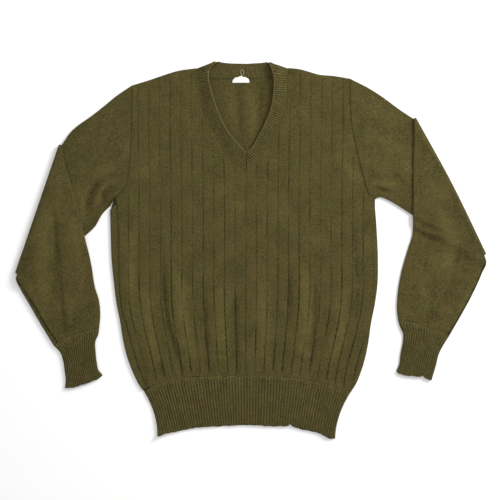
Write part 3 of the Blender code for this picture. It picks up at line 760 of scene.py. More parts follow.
CLOSED_EDGES = ("side", "shoulder_plus", "shoulder_minus")


def groove_strength(number, y):
    """How open each groove is, which differs from groove to groove and along it."""
    draw = np.random.default_rng(11).uniform(0.45, 1.0, 80)
    own = draw[(number + 40).astype(int)]
    place = np.column_stack([number * 37.0, y])
    low_down = 0.6 + 0.5 * smooth_step((70 - y) / 220)
    return np.clip(own + 0.45 * waves(place, 110, 12), 0.2, 1.15) * low_down


def front_relief(xy, edge_gap, hem_gap, neck_gap):
    """Height of the front's cloth over its flat lie, and the painted shade in its grooves."""
    plan = straightened(xy)
    number = np.round(plan[:, 0] / GROOVE_PITCH)
    off = (plan[:, 0] / GROOVE_PITCH - number) * groove_run(xy[:, 1])[1]
    open_ = groove_strength(number, xy[:, 1]) * (abs(number) <= GROOVES_EACH_SIDE)
    open_ = open_ * smooth_step((edge_gap - 3) / 9)
    groove = open_ * bell(off, GROOVE_WIDTH)
    lip = open_ * bell(abs(off) - 2.6, 1.6)
    swell = np.cos(off / GROOVE_PITCH * math.pi) ** 2
    inner = smooth_step(edge_gap / 22)
    height = crease_height(xy, FRONT_CREASES) * smooth_step(edge_gap / 16)
    height += 0.55 * waves(xy, 105, 1) * inner + 0.22 * waves(xy, 30, 2) * inner + 0.08 * waves(xy, 9, 3)
    puckers = waves(xy * (1, 0.12), 17, 4)
    at_neck = NECK_PUCKER * waves(xy, 11, 5) * bell(neck_gap - 4, 6)
    height += HEM_PUCKER * puckers * bell(hem_gap - 9, 16) + at_neck
    height += LIP_HEIGHT * lip - SWELL_HEIGHT * swell - GROOVE_DEPTH * groove
    return height, open_ * bell(off, GROOVE_SHADE_WIDTH)


# %% Make the front
BODY_ROWS = np.arange(-266, 346, ROW_SPACING)
SEAM_CLEARANCE = 0.1
FRONT_BEND = 7
FRONT_FOLD_SHADING = 0.15
# Painted shade in the grooves of the front.
GROOVE_DARKNESS = 1.45


def front_panel():
    columns = [
        number * GROOVE_PITCH + column
        for number in range(-GROOVES_EACH_SIDE - 2, GROOVES_EACH_SIDE + 3)
        for column in GROOVE_COLUMNS
    ]
    spread = bent(pairs(columns, BODY_ROWS))
    flat, faces = triangles_within(front_outline, spread, straightened, bent)
    gaps = {key: gap_to(flat, line) for key, line in front_stretches.items()}
    edge_gap = gap_to(flat, closed_line(front_outline))
    neck_gap = gap_to(flat, np.concatenate([front_stretches["neck_plus"], front_stretches["neck_minus"]]))
    joined = np.minimum.reduce([gaps[key] for key in CLOSED_EDGES])
    bend_down = (FRONT_MIDDLE - TURN_Z - SEAM_CLEARANCE) * (1 - smooth_step(joined / FRONT_BEND))
    middle = FRONT_MIDDLE - bend_down
    relief, groove = front_relief(flat, edge_gap, gaps["hem"], neck_gap)
    rounded = np.minimum(edge_profile(edge_gap, SEWN_RADIUS), edge_profile(gaps["side"]))
    top = with_height(flat, middle + rounded * (HALF_WALL + relief))
    under = with_height(flat, middle - rounded * (HALF_WALL - np.maximum(relief, 0)))
    seams = np.maximum.reduce([tone * bell(gaps[key], SEAM_LINE) for key, tone in SEAM_TONES.items()])
    # The front's maps: dark seam lines with painted shade in the grooves, and painted light and shade on the
    # folds with a slow random tone.
    piece = cloth(
        "front", "front_panel", "olive_knit", body_wool, top, under, faces, edge_gap < ON_EDGE,
        straightened(flat) / (GROOVE_PITCH / WALES_BETWEEN, COURSE),
        np.clip(GROOVE_DARKNESS * groove + seams, 0, 1),
        painted_fold_shading(crease_height(flat, FRONT_CREASES) + 0.6 * waves(flat, 60, 6), FRONT_FOLD_SHADING),
    )
    laid(piece, extent(flat), area_of(with_height(flat, 0), faces))


front_panel()

# %% [markdown]
# ## The back
# The back lies underneath. At -X it is wider than the front: its margin rolls over the edge and meets the
# front at the side seam. The cloth is worked out as it was cut, flat, and every point beyond the roll's
# axis is then carried round a small half circle and back over the top.


# %% Make the back
BACK_SPACING = 5.0
BACK_BEND = 6
BACK_FOLD_SHADING = 0.22
# Painted shade over the back's inside, where it shows through the V beneath the front and the band.
V_INSIDE_SHADE = 0.1
V_LOW_Y = 150
MARGIN_COLUMNS = np.append(np.arange(-26, -5, 2.5), [-3.9, -3.4, -2.9, -2.4, -2, -1.5, -1, -0.5, 0])
INSIDE_CREASES = table(
    "x1 y1 x2 y2 x3 y3 width height",
    (-23, 316, -20, 260, -15, 190, 4, -0.9),
    (21, 316, 18, 262, 12, 210, 6, -0.9),
    (36, 316, 34, 280, 28, 240, 7, 0.8),
    (-6, 306, 2, 250, 0, 200, 11, 1.9),
    (-44, 306, -38, 270, -30, 222, 10, 1.5),
)


def side_at(key, y):
    path = side(key)(np.linspace(0, 1, 200))
    return np.interp(y, path[:, 1], path[:, 0])


def roll_axis(y):
    """Where the back's margin starts to roll over, at each height."""
    return side_at("minus_edge", y) + TURN_RADIUS + HALF_WALL


def back_outline():
    rows = np.linspace(BODY["y"][0] + 1, BODY["y"][-1] - 1, 110)
    axis = roll_axis(rows)
    cut = np.column_stack([axis - ROLL_LENGTH - (side_at("minus_seam", rows) - axis), rows])
    cut[[0, -1], 1] += 5
    neck = curve(points(NECK_BACK, "seam_x", "seam_y"))
    return np.concatenate(
        [
            cut[::-1],
            [(axis[0], rows[0])],
            sampled(hem_seam(), EDGE_SPACING)[1:],
            sampled(side("plus_edge"), EDGE_SPACING)[1:-1],
            edge_of(ARMHOLE_PLUS)[::-1],
            edge_of(SHOULDER_PLUS)[::-1][1:],
            sampled(shifted(neck, SEAM_GAP), EDGE_SPACING)[::-1],
            edge_of(SHOULDER_MINUS),
            edge_of(ARMHOLE_MINUS)[1:-4],
            [(axis[-1], rows[-1])],
        ]
    )


def rolled(flat, offset):
    """Cloth that passes the roll's axis goes round it. The offset is from the cloth's middle, outwards."""
    axis = roll_axis(flat[:, 1])
    size = TURN_RADIUS + offset
    way = axis - flat[:, 0]
    turn = np.clip(way / ROLL_LENGTH, 0, 1) * math.pi
    back = np.maximum(way - ROLL_LENGTH, 0)
    x = np.where(way > 0, axis + back - size * np.sin(turn), flat[:, 0])
    return np.column_stack([x, flat[:, 1], TURN_Z - size * np.cos(turn)])


def back_panel():
    outline = back_outline()

    def from_axis(plan, way=1):
        return np.column_stack([plan[:, 0] + way * roll_axis(plan[:, 1]), plan[:, 1]])

    def to_axis(xy):
        return from_axis(xy, -1)

    columns = np.concatenate([MARGIN_COLUMNS, np.arange(4, 500, BACK_SPACING)])
    spread = from_axis(pairs(columns, np.arange(-262, 340, BACK_SPACING)))
    flat, faces = triangles_within(outline, spread, to_axis, from_axis)
    edge_gap = gap_to(flat, closed_line(outline))
    half = HALF_WALL * edge_profile(edge_gap)
    joined = np.minimum.reduce([gap_to(flat, front_stretches[key]) for key in CLOSED_EDGES])
    bend_up = (TURN_Z - SEAM_CLEARANCE - BACK_MIDDLE) * (1 - smooth_step(joined / BACK_BEND))
    outer, inner = rolled(flat, half), rolled(flat, -half)
    past_axis = roll_axis(flat[:, 1]) - flat[:, 0]
    folds = crease_height(flat, INSIDE_CREASES)
    raised = np.clip(folds + 0.3 * waves(flat, 60, 21) * smooth_step(edge_gap / 12), -0.9, 2.2)
    inner[:, 2] += np.where(past_axis > 0, 0, raised * (flat[:, 1] > V_LOW_Y) + bend_up)
    slack = 0.5 * waves(flat, 40, 22) * smooth_step((past_axis - 3) / 5)
    outer[:, 2] += np.where(past_axis > 0, slack, bend_up)
    in_the_v = smooth_step((flat[:, 1] - V_LOW_Y) / 30)
    # Through the V the back's inside is painted darker as shade, and its folds carry painted light and shade.
    piece = cloth(
        "back", "back_panel", "olive_knit", body_wool, inner, outer, faces, edge_gap < ON_EDGE,
        (flat - (GROOVE_CENTRE, 0)) / (WALE, COURSE), 0.6 * bell(edge_gap, SEAM_LINE),
        (painted_fold_shading(folds, BACK_FOLD_SHADING) - V_INSIDE_SHADE) * in_the_v,
    )
    laid(piece, extent(flat), area_of(with_height(flat, 0), faces))


back_panel()

# %% [markdown]
# ## The sleeves
# A sleeve is a flat tube. Both are folded over just below the elbow, so the lower half lies on the upper one.
# The tube is built as a row of rings. Each ring knows how to place a point when told its share of the way
# across and its height over the tube's middle, so the same ring serves the outer and the inner face.

# %% Measured edges of the sleeves
SLEEVE_MINUS = {
    "armhole": ARMHOLE_MINUS,
    "fold": table("x y", (-353.4, 194.3), (-434.8, -43.5)),
    "fold_bow": 0.0,
    "top_edge": table("x y", (-250, 282), (-265.5, 269), (-289.5, 250), (-331.5, 217.5)),
    "underarm": table("x y", (-272, 68), (-289.5, 40), (-305.5, 25.5), (-366, -9)),
    "free_edge": table(
        "x y", (-342.5, 155.5), (-331.5, 121), (-320, 82), (-306, 25), (-293.5, -31.5), (-287, -71),
        (-280.5, -91.5), (-277.5, -118.5),
    ),
    "outer_edge": table("x y", (-432.5, -53), (-427.5, -67.5), (-407, -104.5), (-388, -137.5)),
    "seam": table(
        "x y", (-433, -53), (-418.8, -75), (-400.5, -103), (-375, -145.6), (-356.5, -172.4), (-352, -180),
    ),
    "cuff_line": table("x y", (-279.4, -145), (-293, -147.3), (-318, -154.5), (-343, -164), (-363.5, -177.6)),
    "cuff_free": table("x y", (-281.5, -158), (-286, -168), (-286, -190), (-284, -208), (-280, -224)),
    "cuff_outer": table("x y", (-352, -189.5), (-346.5, -204.5), (-343.5, -224), (-341.5, -244)),
    "cuff_end": table(
        "x y", (-273, -231.6), (-280, -237.7), (-293, -243.5), (-308.5, -248.8), (-324, -254),
        (-343, -256.5),
    ),
}
SLEEVE_PLUS = {
    "armhole": ARMHOLE_PLUS,
    "fold": table("x y", (305.3, 244), (435.5, -8.3)),
    "fold_bow": 3.5,
    "top_edge": table("x y", (224, 295), (241, 284), (276.5, 258)),
    "underarm": table("x y", (238, 97), (250.5, 93), (271, 82), (299, 64), (365, 27)),
    "free_edge": table(
        "x y", (302, 219), (300.5, 182), (300, 125), (299.5, 68.5), (298.5, 25), (291, 1), (277, -50),
        (272, -81.5), (270.5, -108),
    ),
    "outer_edge": table("x y", (434.8, -22), (427, -45.5), (407.5, -88), (384, -130.5)),
    "seam": table("x y", (434, -22), (427, -40), (413, -73), (396, -106), (378, -137), (363, -160)),
    "cuff_line": table("x y", (272.7, -131.2), (295, -134), (321, -141), (345, -150), (367, -160)),
    "cuff_free": table("x y", (277, -144.5), (282, -155), (282, -166), (277, -195), (274.5, -213.5)),
    "cuff_outer": table("x y", (356, -177.5), (348, -193.5), (343, -213.5)),
    "cuff_end": table(
        "x y", (269.5, -224), (273.5, -228), (285, -232), (301.5, -234.5), (311.5, -234.5), (334.5, -241.5),
    ),
}

# %% [markdown]
# The part past the fold starts level with the top of the fold, high over the upper half, and comes down to
# the table where the upper half ends. Its rings fan out, because the fold is longer than the sleeve is wide.

# %% Rings of a sleeve
TUBE_MIDDLE = 2.4
WALL_MIDDLE = 1.3
FOLD_AXIS_Z = 5.0
FOLD_RADIUS = FOLD_AXIS_Z - TUBE_MIDDLE
LIFTED_Z = FOLD_AXIS_Z + FOLD_RADIUS
FOLD_OUTSIDE = FOLD_RADIUS + TUBE_MIDDLE
UPPER_RINGS = 44
LOWER_RINGS = 100
FOLD_ANGLES = np.arange(-75, 90, 15)
LOWER_SECTIONS = table(
    "free outer lift",
    (0, 0, 1),
    (30, 2.5, 1),
    (70, 4.5, 1),
    (110, 6.5, 1),
    (150, 8.5, 1),
    (182, 11, 1),
    (190, 19, 0.82),
    (199, 28, 0.35),
    (208, 37, 0.06),
    (222, 52, 0),
)


def patch(start, end, first, second):
    """Plan of a panel between four curves: start and end run across, first and second run along it."""

    def at(along_first, along_second, across):
        across = np.asarray(across, float)[:, None]
        middle = (along_first + along_second) / 2
        chord = (1 - across) * first(along_first) + across * second(along_second)
        start_bend = start(across[:, 0]) - ((1 - across) * start(0.0) + across * start(1.0))
        end_bend = end(across[:, 0]) - ((1 - across) * end(0.0) + across * end(1.0))
        return chord + (1 - middle) * start_bend + middle * end_bend

    return at


def fold_axis(sleeve):
    """Line that the sleeve turns round, and the way outwards from it."""
    top, low = points(sleeve["fold"])
    along = (low - top) / np.linalg.norm(low - top)
    outwards = np.array([along[1], -along[0]]) * np.sign(top[0]) * -1
    middle = (top + low) / 2 + sleeve["fold_bow"] * outwards
    return curve(*(point - FOLD_OUTSIDE * outwards for point in (top, middle, low))), outwards


def fan_steps(free_length, outer_length):
    """Shares of the free edge and the outer edge, and the lift, for each ring past the fold."""
    free, outer = LOWER_SECTIONS["free"] / free_length, LOWER_SECTIONS["outer"] / outer_length
    free, outer = np.append(free, 1), np.append(outer, 1)
    lift = np.append(LOWER_SECTIONS["lift"], 0)
    close = 1 - np.array([0.2, 0.5, 1.0]) / free_length
    step = np.sort(np.append(np.linspace(0, 1, LOWER_RINGS + 1)[1:], close))
    return step, np.interp(step, free, outer), np.interp(step, free, lift)


def sleeve_rings(sleeve):
    """For each ring: its width, how it places points, which of its sides faces up, and its way along."""
    sign = np.sign(sleeve["fold"]["x"][0])
    armhole = shifted(curve(points(sleeve["armhole"])), -SEAM_GAP * sign)
    axis, outwards = fold_axis(sleeve)
    cuff_line = curve(points(sleeve["cuff_line"]))
    top_edge = curve(armhole(0.0), points(sleeve["top_edge"]), axis(0.0))
    underarm = curve(armhole(1.0), points(sleeve["underarm"]), axis(1.0))
    free_edge = curve(axis(0.0), points(sleeve["free_edge"]), cuff_line(0.0))
    outer_edge = curve(axis(1.0), points(sleeve["outer_edge"]), cuff_line(1.0))
    upper = patch(armhole, axis, top_edge, underarm)
    lower = patch(axis, cuff_line, free_edge, outer_edge)
    rings = []

    def ring(width, facing, way, place):
        rings.append({"width": float(width), "facing": facing, "way": float(way), "place": place})

    upper_length = (length_of(top_edge) + length_of(underarm)) / 2
    for u in np.concatenate([[0, 0.002, 0.005, 0.012], np.linspace(0.03, 1, UPPER_RINGS)]):

        def place(share, height, u=u):
            return with_height(upper(u, u, share), TUBE_MIDDLE + height)

        ring(np.linalg.norm(top_edge(u) - underarm(u)), 1, u * upper_length, place)
    for angle in np.radians(FOLD_ANGLES):

        def place(share, height, angle=angle):
            radius = (FOLD_RADIUS - height)[:, None]
            plan = axis(share) + radius * math.cos(angle) * outwards
            return with_height(plan, FOLD_AXIS_Z + radius[:, 0] * math.sin(angle))

        way = upper_length + (angle + math.pi / 2) * FOLD_RADIUS
        ring(np.linalg.norm(axis(0.0) - axis(1.0)), 0, way, place)
    lower_length = (length_of(free_edge) + length_of(outer_edge)) / 2
    for free, outer, lift in zip(*fan_steps(length_of(free_edge), length_of(outer_edge))):

        def place(share, height, free=free, outer=outer, lift=lift):
            level = TUBE_MIDDLE + smooth_step(lift) * (LIFTED_Z - TUBE_MIDDLE)
            return with_height(lower(free, outer, share), level - height)

        way = upper_length + math.pi * FOLD_RADIUS + (free + outer) / 2 * lower_length
        ring(np.linalg.norm(free_edge(free) - outer_edge(outer)), -1, way, place)
    return rings


# %% [markdown]
# Sleeves crease where the arm bent and where the underarm seam pulls. The creases are written for the side
# that faces up: first those between armhole and fold, then those past the fold.

# %% Creases of the sleeves
UPPER_CREASES = table(
    "x1 y1 x2 y2 x3 y3 width height",
    (-246, 130, -274, 113, -288, 80, 5.5, 4.2),
    (-256, 120, -272, 104, -268, 80, 4.0, -2.6),
    (-272, 132, -294, 106, -303, 66, 6.0, -2.4),
    (-240, 106, -253, 100, -264, 96, 4.5, 2.6),
    (-246, 95, -256, 89, -264, 80, 3.0, -2.0),
    (-300, 116, -312, 80, -312, 40, 7.0, 2.2),
    (-236, 156, -262, 148, -306, 120, 9.0, 2.0),
    (-232, 200, -262, 186, -300, 160, 14.0, 0.9),
    (-240, 262, -270, 236, -318, 200, 14.0, 0.8),
    (-300, 60, -318, 90, -330, 130, 9.0, 0.9),
    (222, 124, 244, 120, 272, 116, 6.0, 2.8),
    (230, 112, 246, 109, 262, 108, 3.5, -2.0),
    (256, 146, 270, 134, 292, 118, 5.0, -1.8),
    (262, 168, 280, 156, 298, 140, 8.0, 1.8),
    (205, 160, 232, 150, 280, 140, 12.0, 1.3),
    (200, 220, 236, 206, 292, 170, 15.0, 0.9),
    (196, 282, 232, 258, 280, 222, 14.0, 0.8),
)
LOWER_CREASES = table(
    "x1 y1 x2 y2 x3 y3 width height",
    (-367, 112, -356, -10, -352, -60, 4.5, -1.9),
    (-352, -50, -346, -110, -341, -172, 4.0, -1.9),
    (-388, 60, -386, -30, -378, -120, 13.0, 2.0),
    (-330, 70, -318, -20, -306, -110, 12.0, 1.2),
    (-422, -40, -400, -90, -368, -150, 5.0, 1.0),
    (-296, -20, -300, -80, -300, -130, 7.0, -0.8),
    (-352, 20, -362, -20, -398, -40, 10.0, -0.8),
    (298, 56, 328, 42, 356, 33, 4.5, -2.2),
    (300, 37, 322, 24, 350, 17, 4.0, -2.0),
    (300, 46, 322, 34, 352, 25, 4.0, 1.4),
    (-350, 150, -372, 60, -392, -30, 16.0, 1.6),
    (-300, 40, -330, 20, -370, 10, 12.0, 1.0),
    (330, 150, 352, 60, 372, -10, 14.0, 1.3),
    (372, 40, 362, -20, 345, -80, 14.0, 1.8),
    (300, -10, 312, -60, 322, -120, 10.0, 0.9),
    (424, -30, 400, -80, 372, -140, 5.0, 0.9),
    (390, 30, 376, -40, 352, -120, 4.5, -0.9),
    (338, -40, 334, -90, 336, -140, 5.0, -0.8),
)

# %% Make a sleeve
LANES = np.concatenate([np.linspace(0, 0.12, 8), np.linspace(0.145, 0.85, 29), np.linspace(0.862, 1, 15)])
EDGE_ARC = np.radians((25, 57.5, 90, 122.5, 155))
SEAM_DIP = 1.3
DEEPEST = -1.8
SLEEVE_FOLD_SHADING = 0.18


def tube_crown(share):
    """How far the upper layer of a flat tube stands up in its middle."""
    return 1.2 * np.sin(math.pi * np.clip(share, 0, 1)) ** 0.8


def across_tube(width, half, lanes=LANES, under=LANES[::-1], rise=0.0):
    """Places round a flat tube: shares of its width, and heights over its middle."""
    inside = TUBE_MIDDLE / width
    arc = half / width * np.sin(EDGE_ARC)
    room = 1 - 2 * inside
    share = np.concatenate([inside + room * lanes, 1 - inside + arc, inside + room * under, inside - arc])
    over, edge, below = half + rise + 0 * lanes, half * np.cos(EDGE_ARC), np.full(len(under), -half)
    height = np.concatenate([over, edge, below, -edge])
    return share, height


def ring_faces(rows, columns, closed=True):
    """Quads that join each ring to the next. An open ring's last point isn't joined to its first."""
    r, c = np.meshgrid(np.arange(rows - 1), np.arange(columns if closed else columns - 1), indexing="ij")
    d = (c + 1) % columns
    corners = [r * columns + c, r * columns + d, (r + 1) * columns + d, (r + 1) * columns + c]
    return np.column_stack([corner.ravel() for corner in corners])


def tube_cloth(name, node, slot, wool, layers, maps):
    """A closed tube from the rings of its outer, inner and middle layers, and its middle layer's area."""
    outer, inner, middle = (np.concatenate(rows) for rows in layers)
    ends = np.zeros((len(layers[0]), len(layers[0][0])), bool)
    ends[[0, -1]] = True
    faces = ring_faces(*ends.shape)
    area = area_of(middle, faces)
    a, b, c, d = (outer[faces[:, i]] for i in range(4))
    if (np.cross(a, b) * c).sum() + (np.cross(a, c) * d).sum() <= 0:
        faces = faces[:, ::-1]
    maps = (np.concatenate(rows) for rows in maps)
    return cloth(name, node, slot, wool, outer, inner, faces, ends.ravel(), *maps), area


def sleeve_relief(at, share, ring, from_cuff, seed):
    """Rise of the side that faces up, and the height that its painted fold light and shade is made from."""
    side_gap = np.minimum(share, 1 - share) * ring["width"]
    soft = np.sin(math.pi * np.clip(share, 0, 1)) ** 0.6
    level = float(smooth_step(ring["way"] / 30))
    ends = float(smooth_step(ring["way"] / 12) * smooth_step(from_cuff / 12))
    rise = soft * ends * (0.9 * waves(at, 75, seed) + 0.4 * waves(at, 26, seed + 1))
    rise += soft * 0.12 * waves(at, 9, seed + 2) + level * tube_crown(share)
    creases = UPPER_CREASES if ring["facing"] > 0 else LOWER_CREASES
    creased = crease_height(at, creases) * smooth_step(side_gap / 6) * ends
    return rise + creased, creased + 0.8 * soft * waves(at, 55, seed + 3)


def sleeve_piece(name, node, sleeve, seed):
    rings = sleeve_rings(sleeve)
    length = rings[-1]["way"]
    seam = curve(points(sleeve["seam"]))(np.linspace(0, 1, 60))
    layers, maps = ([], [], []), ([], [], [])
    for ring in rings:
        way, facing = ring["way"], ring["facing"]
        rounded = float(edge_profile(min(way, length - way), SEWN_RADIUS))
        for sign, rows in zip((1, -1, 0), layers):
            share, height = across_tube(ring["width"], WALL_MIDDLE + sign * HALF_WALL * rounded)
            place = ring["place"](share, height)
            rows.append(place)
            if sign < 0 or facing == 0:
                continue
            faces_up = height * facing > 0
            rise, fold_shading_source = sleeve_relief(place[:, :2], share, ring, length - way, seed)
            if facing < 0:
                rise -= SEAM_DIP * bell(gap_to(place[:, :2], seam), 1.3)
            # The side that faces up gets painted light and shade on its folds, with a slow random tone.
            if sign > 0:
                tone_source = np.where(faces_up, fold_shading_source, 0)
            place[:, 2] += np.where(faces_up, np.maximum(rise, DEEPEST) * rounded, 0)
        across = share * ring["width"] * np.where(height > 0, 1, -1)
        line = np.zeros(len(share))
        maps[0].append(np.column_stack([across / WALE, np.full(len(share), way / COURSE)]))
        maps[2].append(painted_fold_shading(tone_source if facing else line, SLEEVE_FOLD_SHADING))
        if facing < 0:
            line = bell(gap_to(layers[2][-1][:, :2], seam), SEAM_LINE) * (height * facing > 0)
            line = np.minimum(1.6 * line, 1)
        maps[1].append(np.maximum(line, 0.2 * bell(way, SEAM_LINE)))
    piece, area = tube_cloth(name, node, "olive_knit", body_wool, layers, maps)
    widest = max(ring["width"] for ring in rings)
    laid(piece, (2 * widest * MM, length * MM), area)


sleeve_piece("right_sleeve_knit", "right_sleeve", SLEEVE_MINUS, 31)
sleeve_piece("left_sleeve_knit", "left_sleeve", SLEEVE_PLUS, 41)

# %% [markdown]
# ## The ribbed cuffs, hem and neckband
# A rib is one wale that stands up beside one that sinks back. Seen from the side it is a soft wave, so the
# height of a ribbed piece is a cosine across the ribs. Six points for each rib are enough to round it.

# %% Shape of a rib
RIB_DEPTH = 1.35
RIB_SHADE = 0.85
RIB_START = 9.0
POINTS_EACH_RIB = 6
CUFF_RIBS = 16
HEM_RIBS = 70
NECK_RIBS_FRONT = 48
NECK_RIBS_BACK = 38


def rib_wave(place):
    """From 0 in a dip to 1 on a crest, with crests halfway between whole numbers. Crests are broader."""
    return (0.5 - 0.5 * np.cos(math.tau * np.asarray(place, float))) ** 0.75


def rib_dips(place):
    """How dark the dips between the ribs are painted, as shade."""
    return RIB_SHADE * (1 - rib_wave(place)) ** 1.5


def steps_along(length, between):
    """Rows of a ribbed piece, closer together where its two ends round over."""
    close = np.array([0, 0.3, 0.8, 1.4])
    return np.concatenate([close, between, length - close[::-1]])


# %% [markdown]
# A cuff is a short flat tube. Its ribs stand on the side that faces up. The free end of an old cuff is never
# straight: it waves a little from rib to rib, and at +X one stitch has run and left a small notch.

# %% Make a cuff
CUFF_ROWS = 30
CUFF_UNDER = np.linspace(1, 0, 20)
CUFF_LANES = np.linspace(0, 1, CUFF_RIBS * POINTS_EACH_RIB + 1)
NOTCH_SHARE = 0.74
TORN_SHARE = 0.72


def cuff_piece(name, node, sleeve, seed, notch):
    start, end = curve(points(sleeve["cuff_line"])), curve(points(sleeve["cuff_end"]))
    free = curve(start(0.0), points(sleeve["cuff_free"]), end(0.0))
    outer_edge = curve(start(1.0), points(sleeve["cuff_outer"]), end(1.0))
    plan = patch(start, end, free, outer_edge)
    length = (length_of(free) + length_of(outer_edge)) / 2
    ribs = CUFF_LANES * CUFF_RIBS
    back_ribs = 2 * CUFF_RIBS + 1 - CUFF_UNDER * CUFF_RIBS
    count = np.concatenate([ribs, CUFF_RIBS + EDGE_ARC, back_ribs, 2 * CUFF_RIBS + 1 + EDGE_ARC])
    layers, maps = ([], [], []), ([], [])
    for way in steps_along(length, np.linspace(3, length - 3, CUFF_ROWS)):
        along = (SEAM_GAP + way * (1 - SEAM_GAP / length)) / length
        rounded = min(float(edge_profile(way, SEWN_RADIUS)), float(edge_profile(length - way)))
        ribbed = 0.2 + 0.8 * float(smooth_step(way / RIB_START))
        width = float(np.linalg.norm(free(along) - outer_edge(along)))
        for sign, rows in zip((1, -1, 0), layers):
            crest = RIB_DEPTH * (rib_wave(ribs) - 0.35) * (sign == 1) * rounded * ribbed
            thick = WALL_MIDDLE + sign * HALF_WALL * rounded
            rise = crest + tube_crown(CUFF_LANES)
            share, height = across_tube(width, thick, CUFF_LANES, CUFF_UNDER, rise)
            flat = plan(along, along, share)
            ragged = 0.9 * waves(flat, 13, seed) + 0.5 * rib_wave(share * CUFF_RIBS)
            ragged -= notch * bell(share - NOTCH_SHARE, 0.035)
            flat[:, 1] -= ragged * smooth_step((way - length + 14) / 14)
            rows.append(with_height(flat, TUBE_MIDDLE + height))
        maps[0].append(np.column_stack([2 * count, np.full(len(count), way / COURSE)]))
        torn = 0.8 * bell(CUFF_LANES - TORN_SHARE, 0.03) * (notch > 0) * bell(length - way, 3.5)
        dark = np.maximum(ribbed * rib_dips(ribs), torn)
        maps[1].append(np.concatenate([dark, np.zeros(len(share) - len(dark))]))
    piece, area = tube_cloth(name, node, "olive_rib", rib_wool, layers, maps)
    laid(piece, (2 * length_of(start) * MM, length * MM), area)


cuff_piece("right_cuff_rib", "right_cuff", SLEEVE_MINUS, 51, 0.0)
cuff_piece("left_cuff_rib", "left_cuff", SLEEVE_PLUS, 61, 3.4)

# %% [markdown]
# The hem is a deep rib that draws the body in. Its ribs run from the body's seam to the free edge, so the
# piece is a grid whose columns follow the ribs. The front and the back are the same cut; the back one lies
# flat on the table, so only its edges show and it is kept smooth.

# %% Make the hem
HEM_LENGTH = 79.5
HEM_WIDTH = 320
HEM_STEPS = steps_along(HEM_LENGTH, np.linspace(3.5, 76, 34)) / HEM_LENGTH
HEM_WAIST = 6.5
HEM_PLACES = {"notch": 73, "curl": -168}
NOTCH_DEPTH = 3.2
CURL_HEIGHT = 5.0
CORNER_LIFT = 2.4
BACK_LONGER = 0.8


def faces_turned_up(top, faces):
    """The same faces, turned over where the first one looks down."""
    a, b, c = (top[faces[0, i]] for i in range(3))
    return faces if np.cross(b - a, c - a)[2] >= 0 else faces[:, ::-1]


def hem_piece(name, node, seed, middle_z, ribbed):
    shares = np.linspace(0, 1, (POINTS_EACH_RIB if ribbed else 2) * HEM_RIBS + 1)
    ribs = shares * HEM_RIBS
    side_gap = np.minimum(shares, 1 - shares) * HEM_WIDTH
    edge_far = np.column_stack([np.interp(shares, HEM["share"], HEM[key]) for key in ("edge_x", "edge_y")])
    seam = hem_seam()(shares)
    seam[:, 1] += CORNER_LIFT * bell(shares, 0.025)
    seam += SEAM_GAP * (edge_far - seam) / np.linalg.norm(edge_far - seam, axis=1)[:, None]
    run = edge_far - seam
    length = np.linalg.norm(run, axis=1)
    draw = np.column_stack([HEM_WAIST * (2 * shares - 1) ** 7, np.zeros(len(shares))])
    crest = RIB_DEPTH * (rib_wave(ribs) - 0.4)
    join = (TURN_Z - middle_z) * 0.92 * (1 - smooth_step(side_gap / 6))
    rows = []
    for along in HEM_STEPS:
        from_seam, from_edge = along * length, np.minimum((1 - along) * length, side_gap)
        plan = seam + along * run - draw * 4 * along * (1 - along)
        ragged = 0.9 * waves(plan, 16, seed) + 0.6 * waves(plan, 55, seed + 1) + 0.5 * rib_wave(ribs)
        ragged += BACK_LONGER * (not ribbed) - NOTCH_DEPTH * bell(plan[:, 0] - HEM_PLACES["notch"], 2.6)
        plan[:, 1] -= ragged * smooth_step((along - 0.86) / 0.14)
        soft = np.minimum(edge_profile(from_seam, SEWN_RADIUS), edge_profile(from_edge))
        half = HALF_WALL * soft
        start = 0.2 + 0.8 * smooth_step(from_seam / RIB_START)
        rise = (0.9 * waves(plan, 60, seed + 2) + 0.3 * waves(plan, 18, seed + 3) + crest * start) * soft
        rise = (rise + HEM_PUCKER * waves(plan * (1, 0.12), 17, 4) * bell(along, 0.25) * soft) * ribbed
        curl = bell(plan[:, 0] - HEM_PLACES["curl"], 12) * smooth_step((along - 0.88) / 0.12) * ribbed
        level = middle_z + join + CURL_HEIGHT * curl
        rows.append((
            with_height(plan, level + half + rise),
            with_height(plan, level - half + np.maximum(0.6 * rise, 0)),
            with_height(plan, 0),
            np.minimum(from_seam, from_edge) < ON_EDGE,
            np.column_stack([2 * ribs, from_seam / COURSE]),
            start * rib_dips(ribs) * ribbed,
        ))
    top, under, middle, shared, stitches, shade = (np.concatenate(part) for part in zip(*rows))
    grid = faces_turned_up(top, ring_faces(len(rows), len(shares), closed=False))
    piece = cloth(name, node, "olive_rib", rib_wool, top, under, grid, shared, stitches, shade)
    size = (length_of(hem_seam()) * MM, float(length.max()) * MM)
    laid(piece, size, area_of(middle, grid))


hem_piece("hem_rib_back_knit", "hem_rib_back", 81, BACK_MIDDLE, False)
hem_piece("hem_rib_front_knit", "hem_rib_front", 71, FRONT_MIDDLE, True)

# %% [markdown]
# The neckband is one ribbed ring. Its two ends meet in a mitre at the point of the V, where the lowest ribs
# run into the seam instead of to the free edge. Over each shoulder the ring turns and goes on across the
# back neck, where its inside shows. All columns are set out first, in order round the ring. The free edge is
# shorter than the seam, so a table pairs shares of the two, which keeps the ribs square to the band.

# %% Columns of the neckband
NECK_ROWS = np.array([0, 0.2, 0.5, 1.2, 3, 5.5, 8, 10.5, 13, 15.5, 18, 20, 21.4, 22.4, 23.1, 23.7, 24]) / 24
SQUARE_ACROSS = table(
    "seam free", (0.13, 0), (0.21, 0.10), (0.36, 0.25), (0.5, 0.40), (0.64, 0.55), (0.79, 0.70), (0.93, 0.86),
    (1, 1),
)
NECK_TURN = np.arange(75, -90, -15)


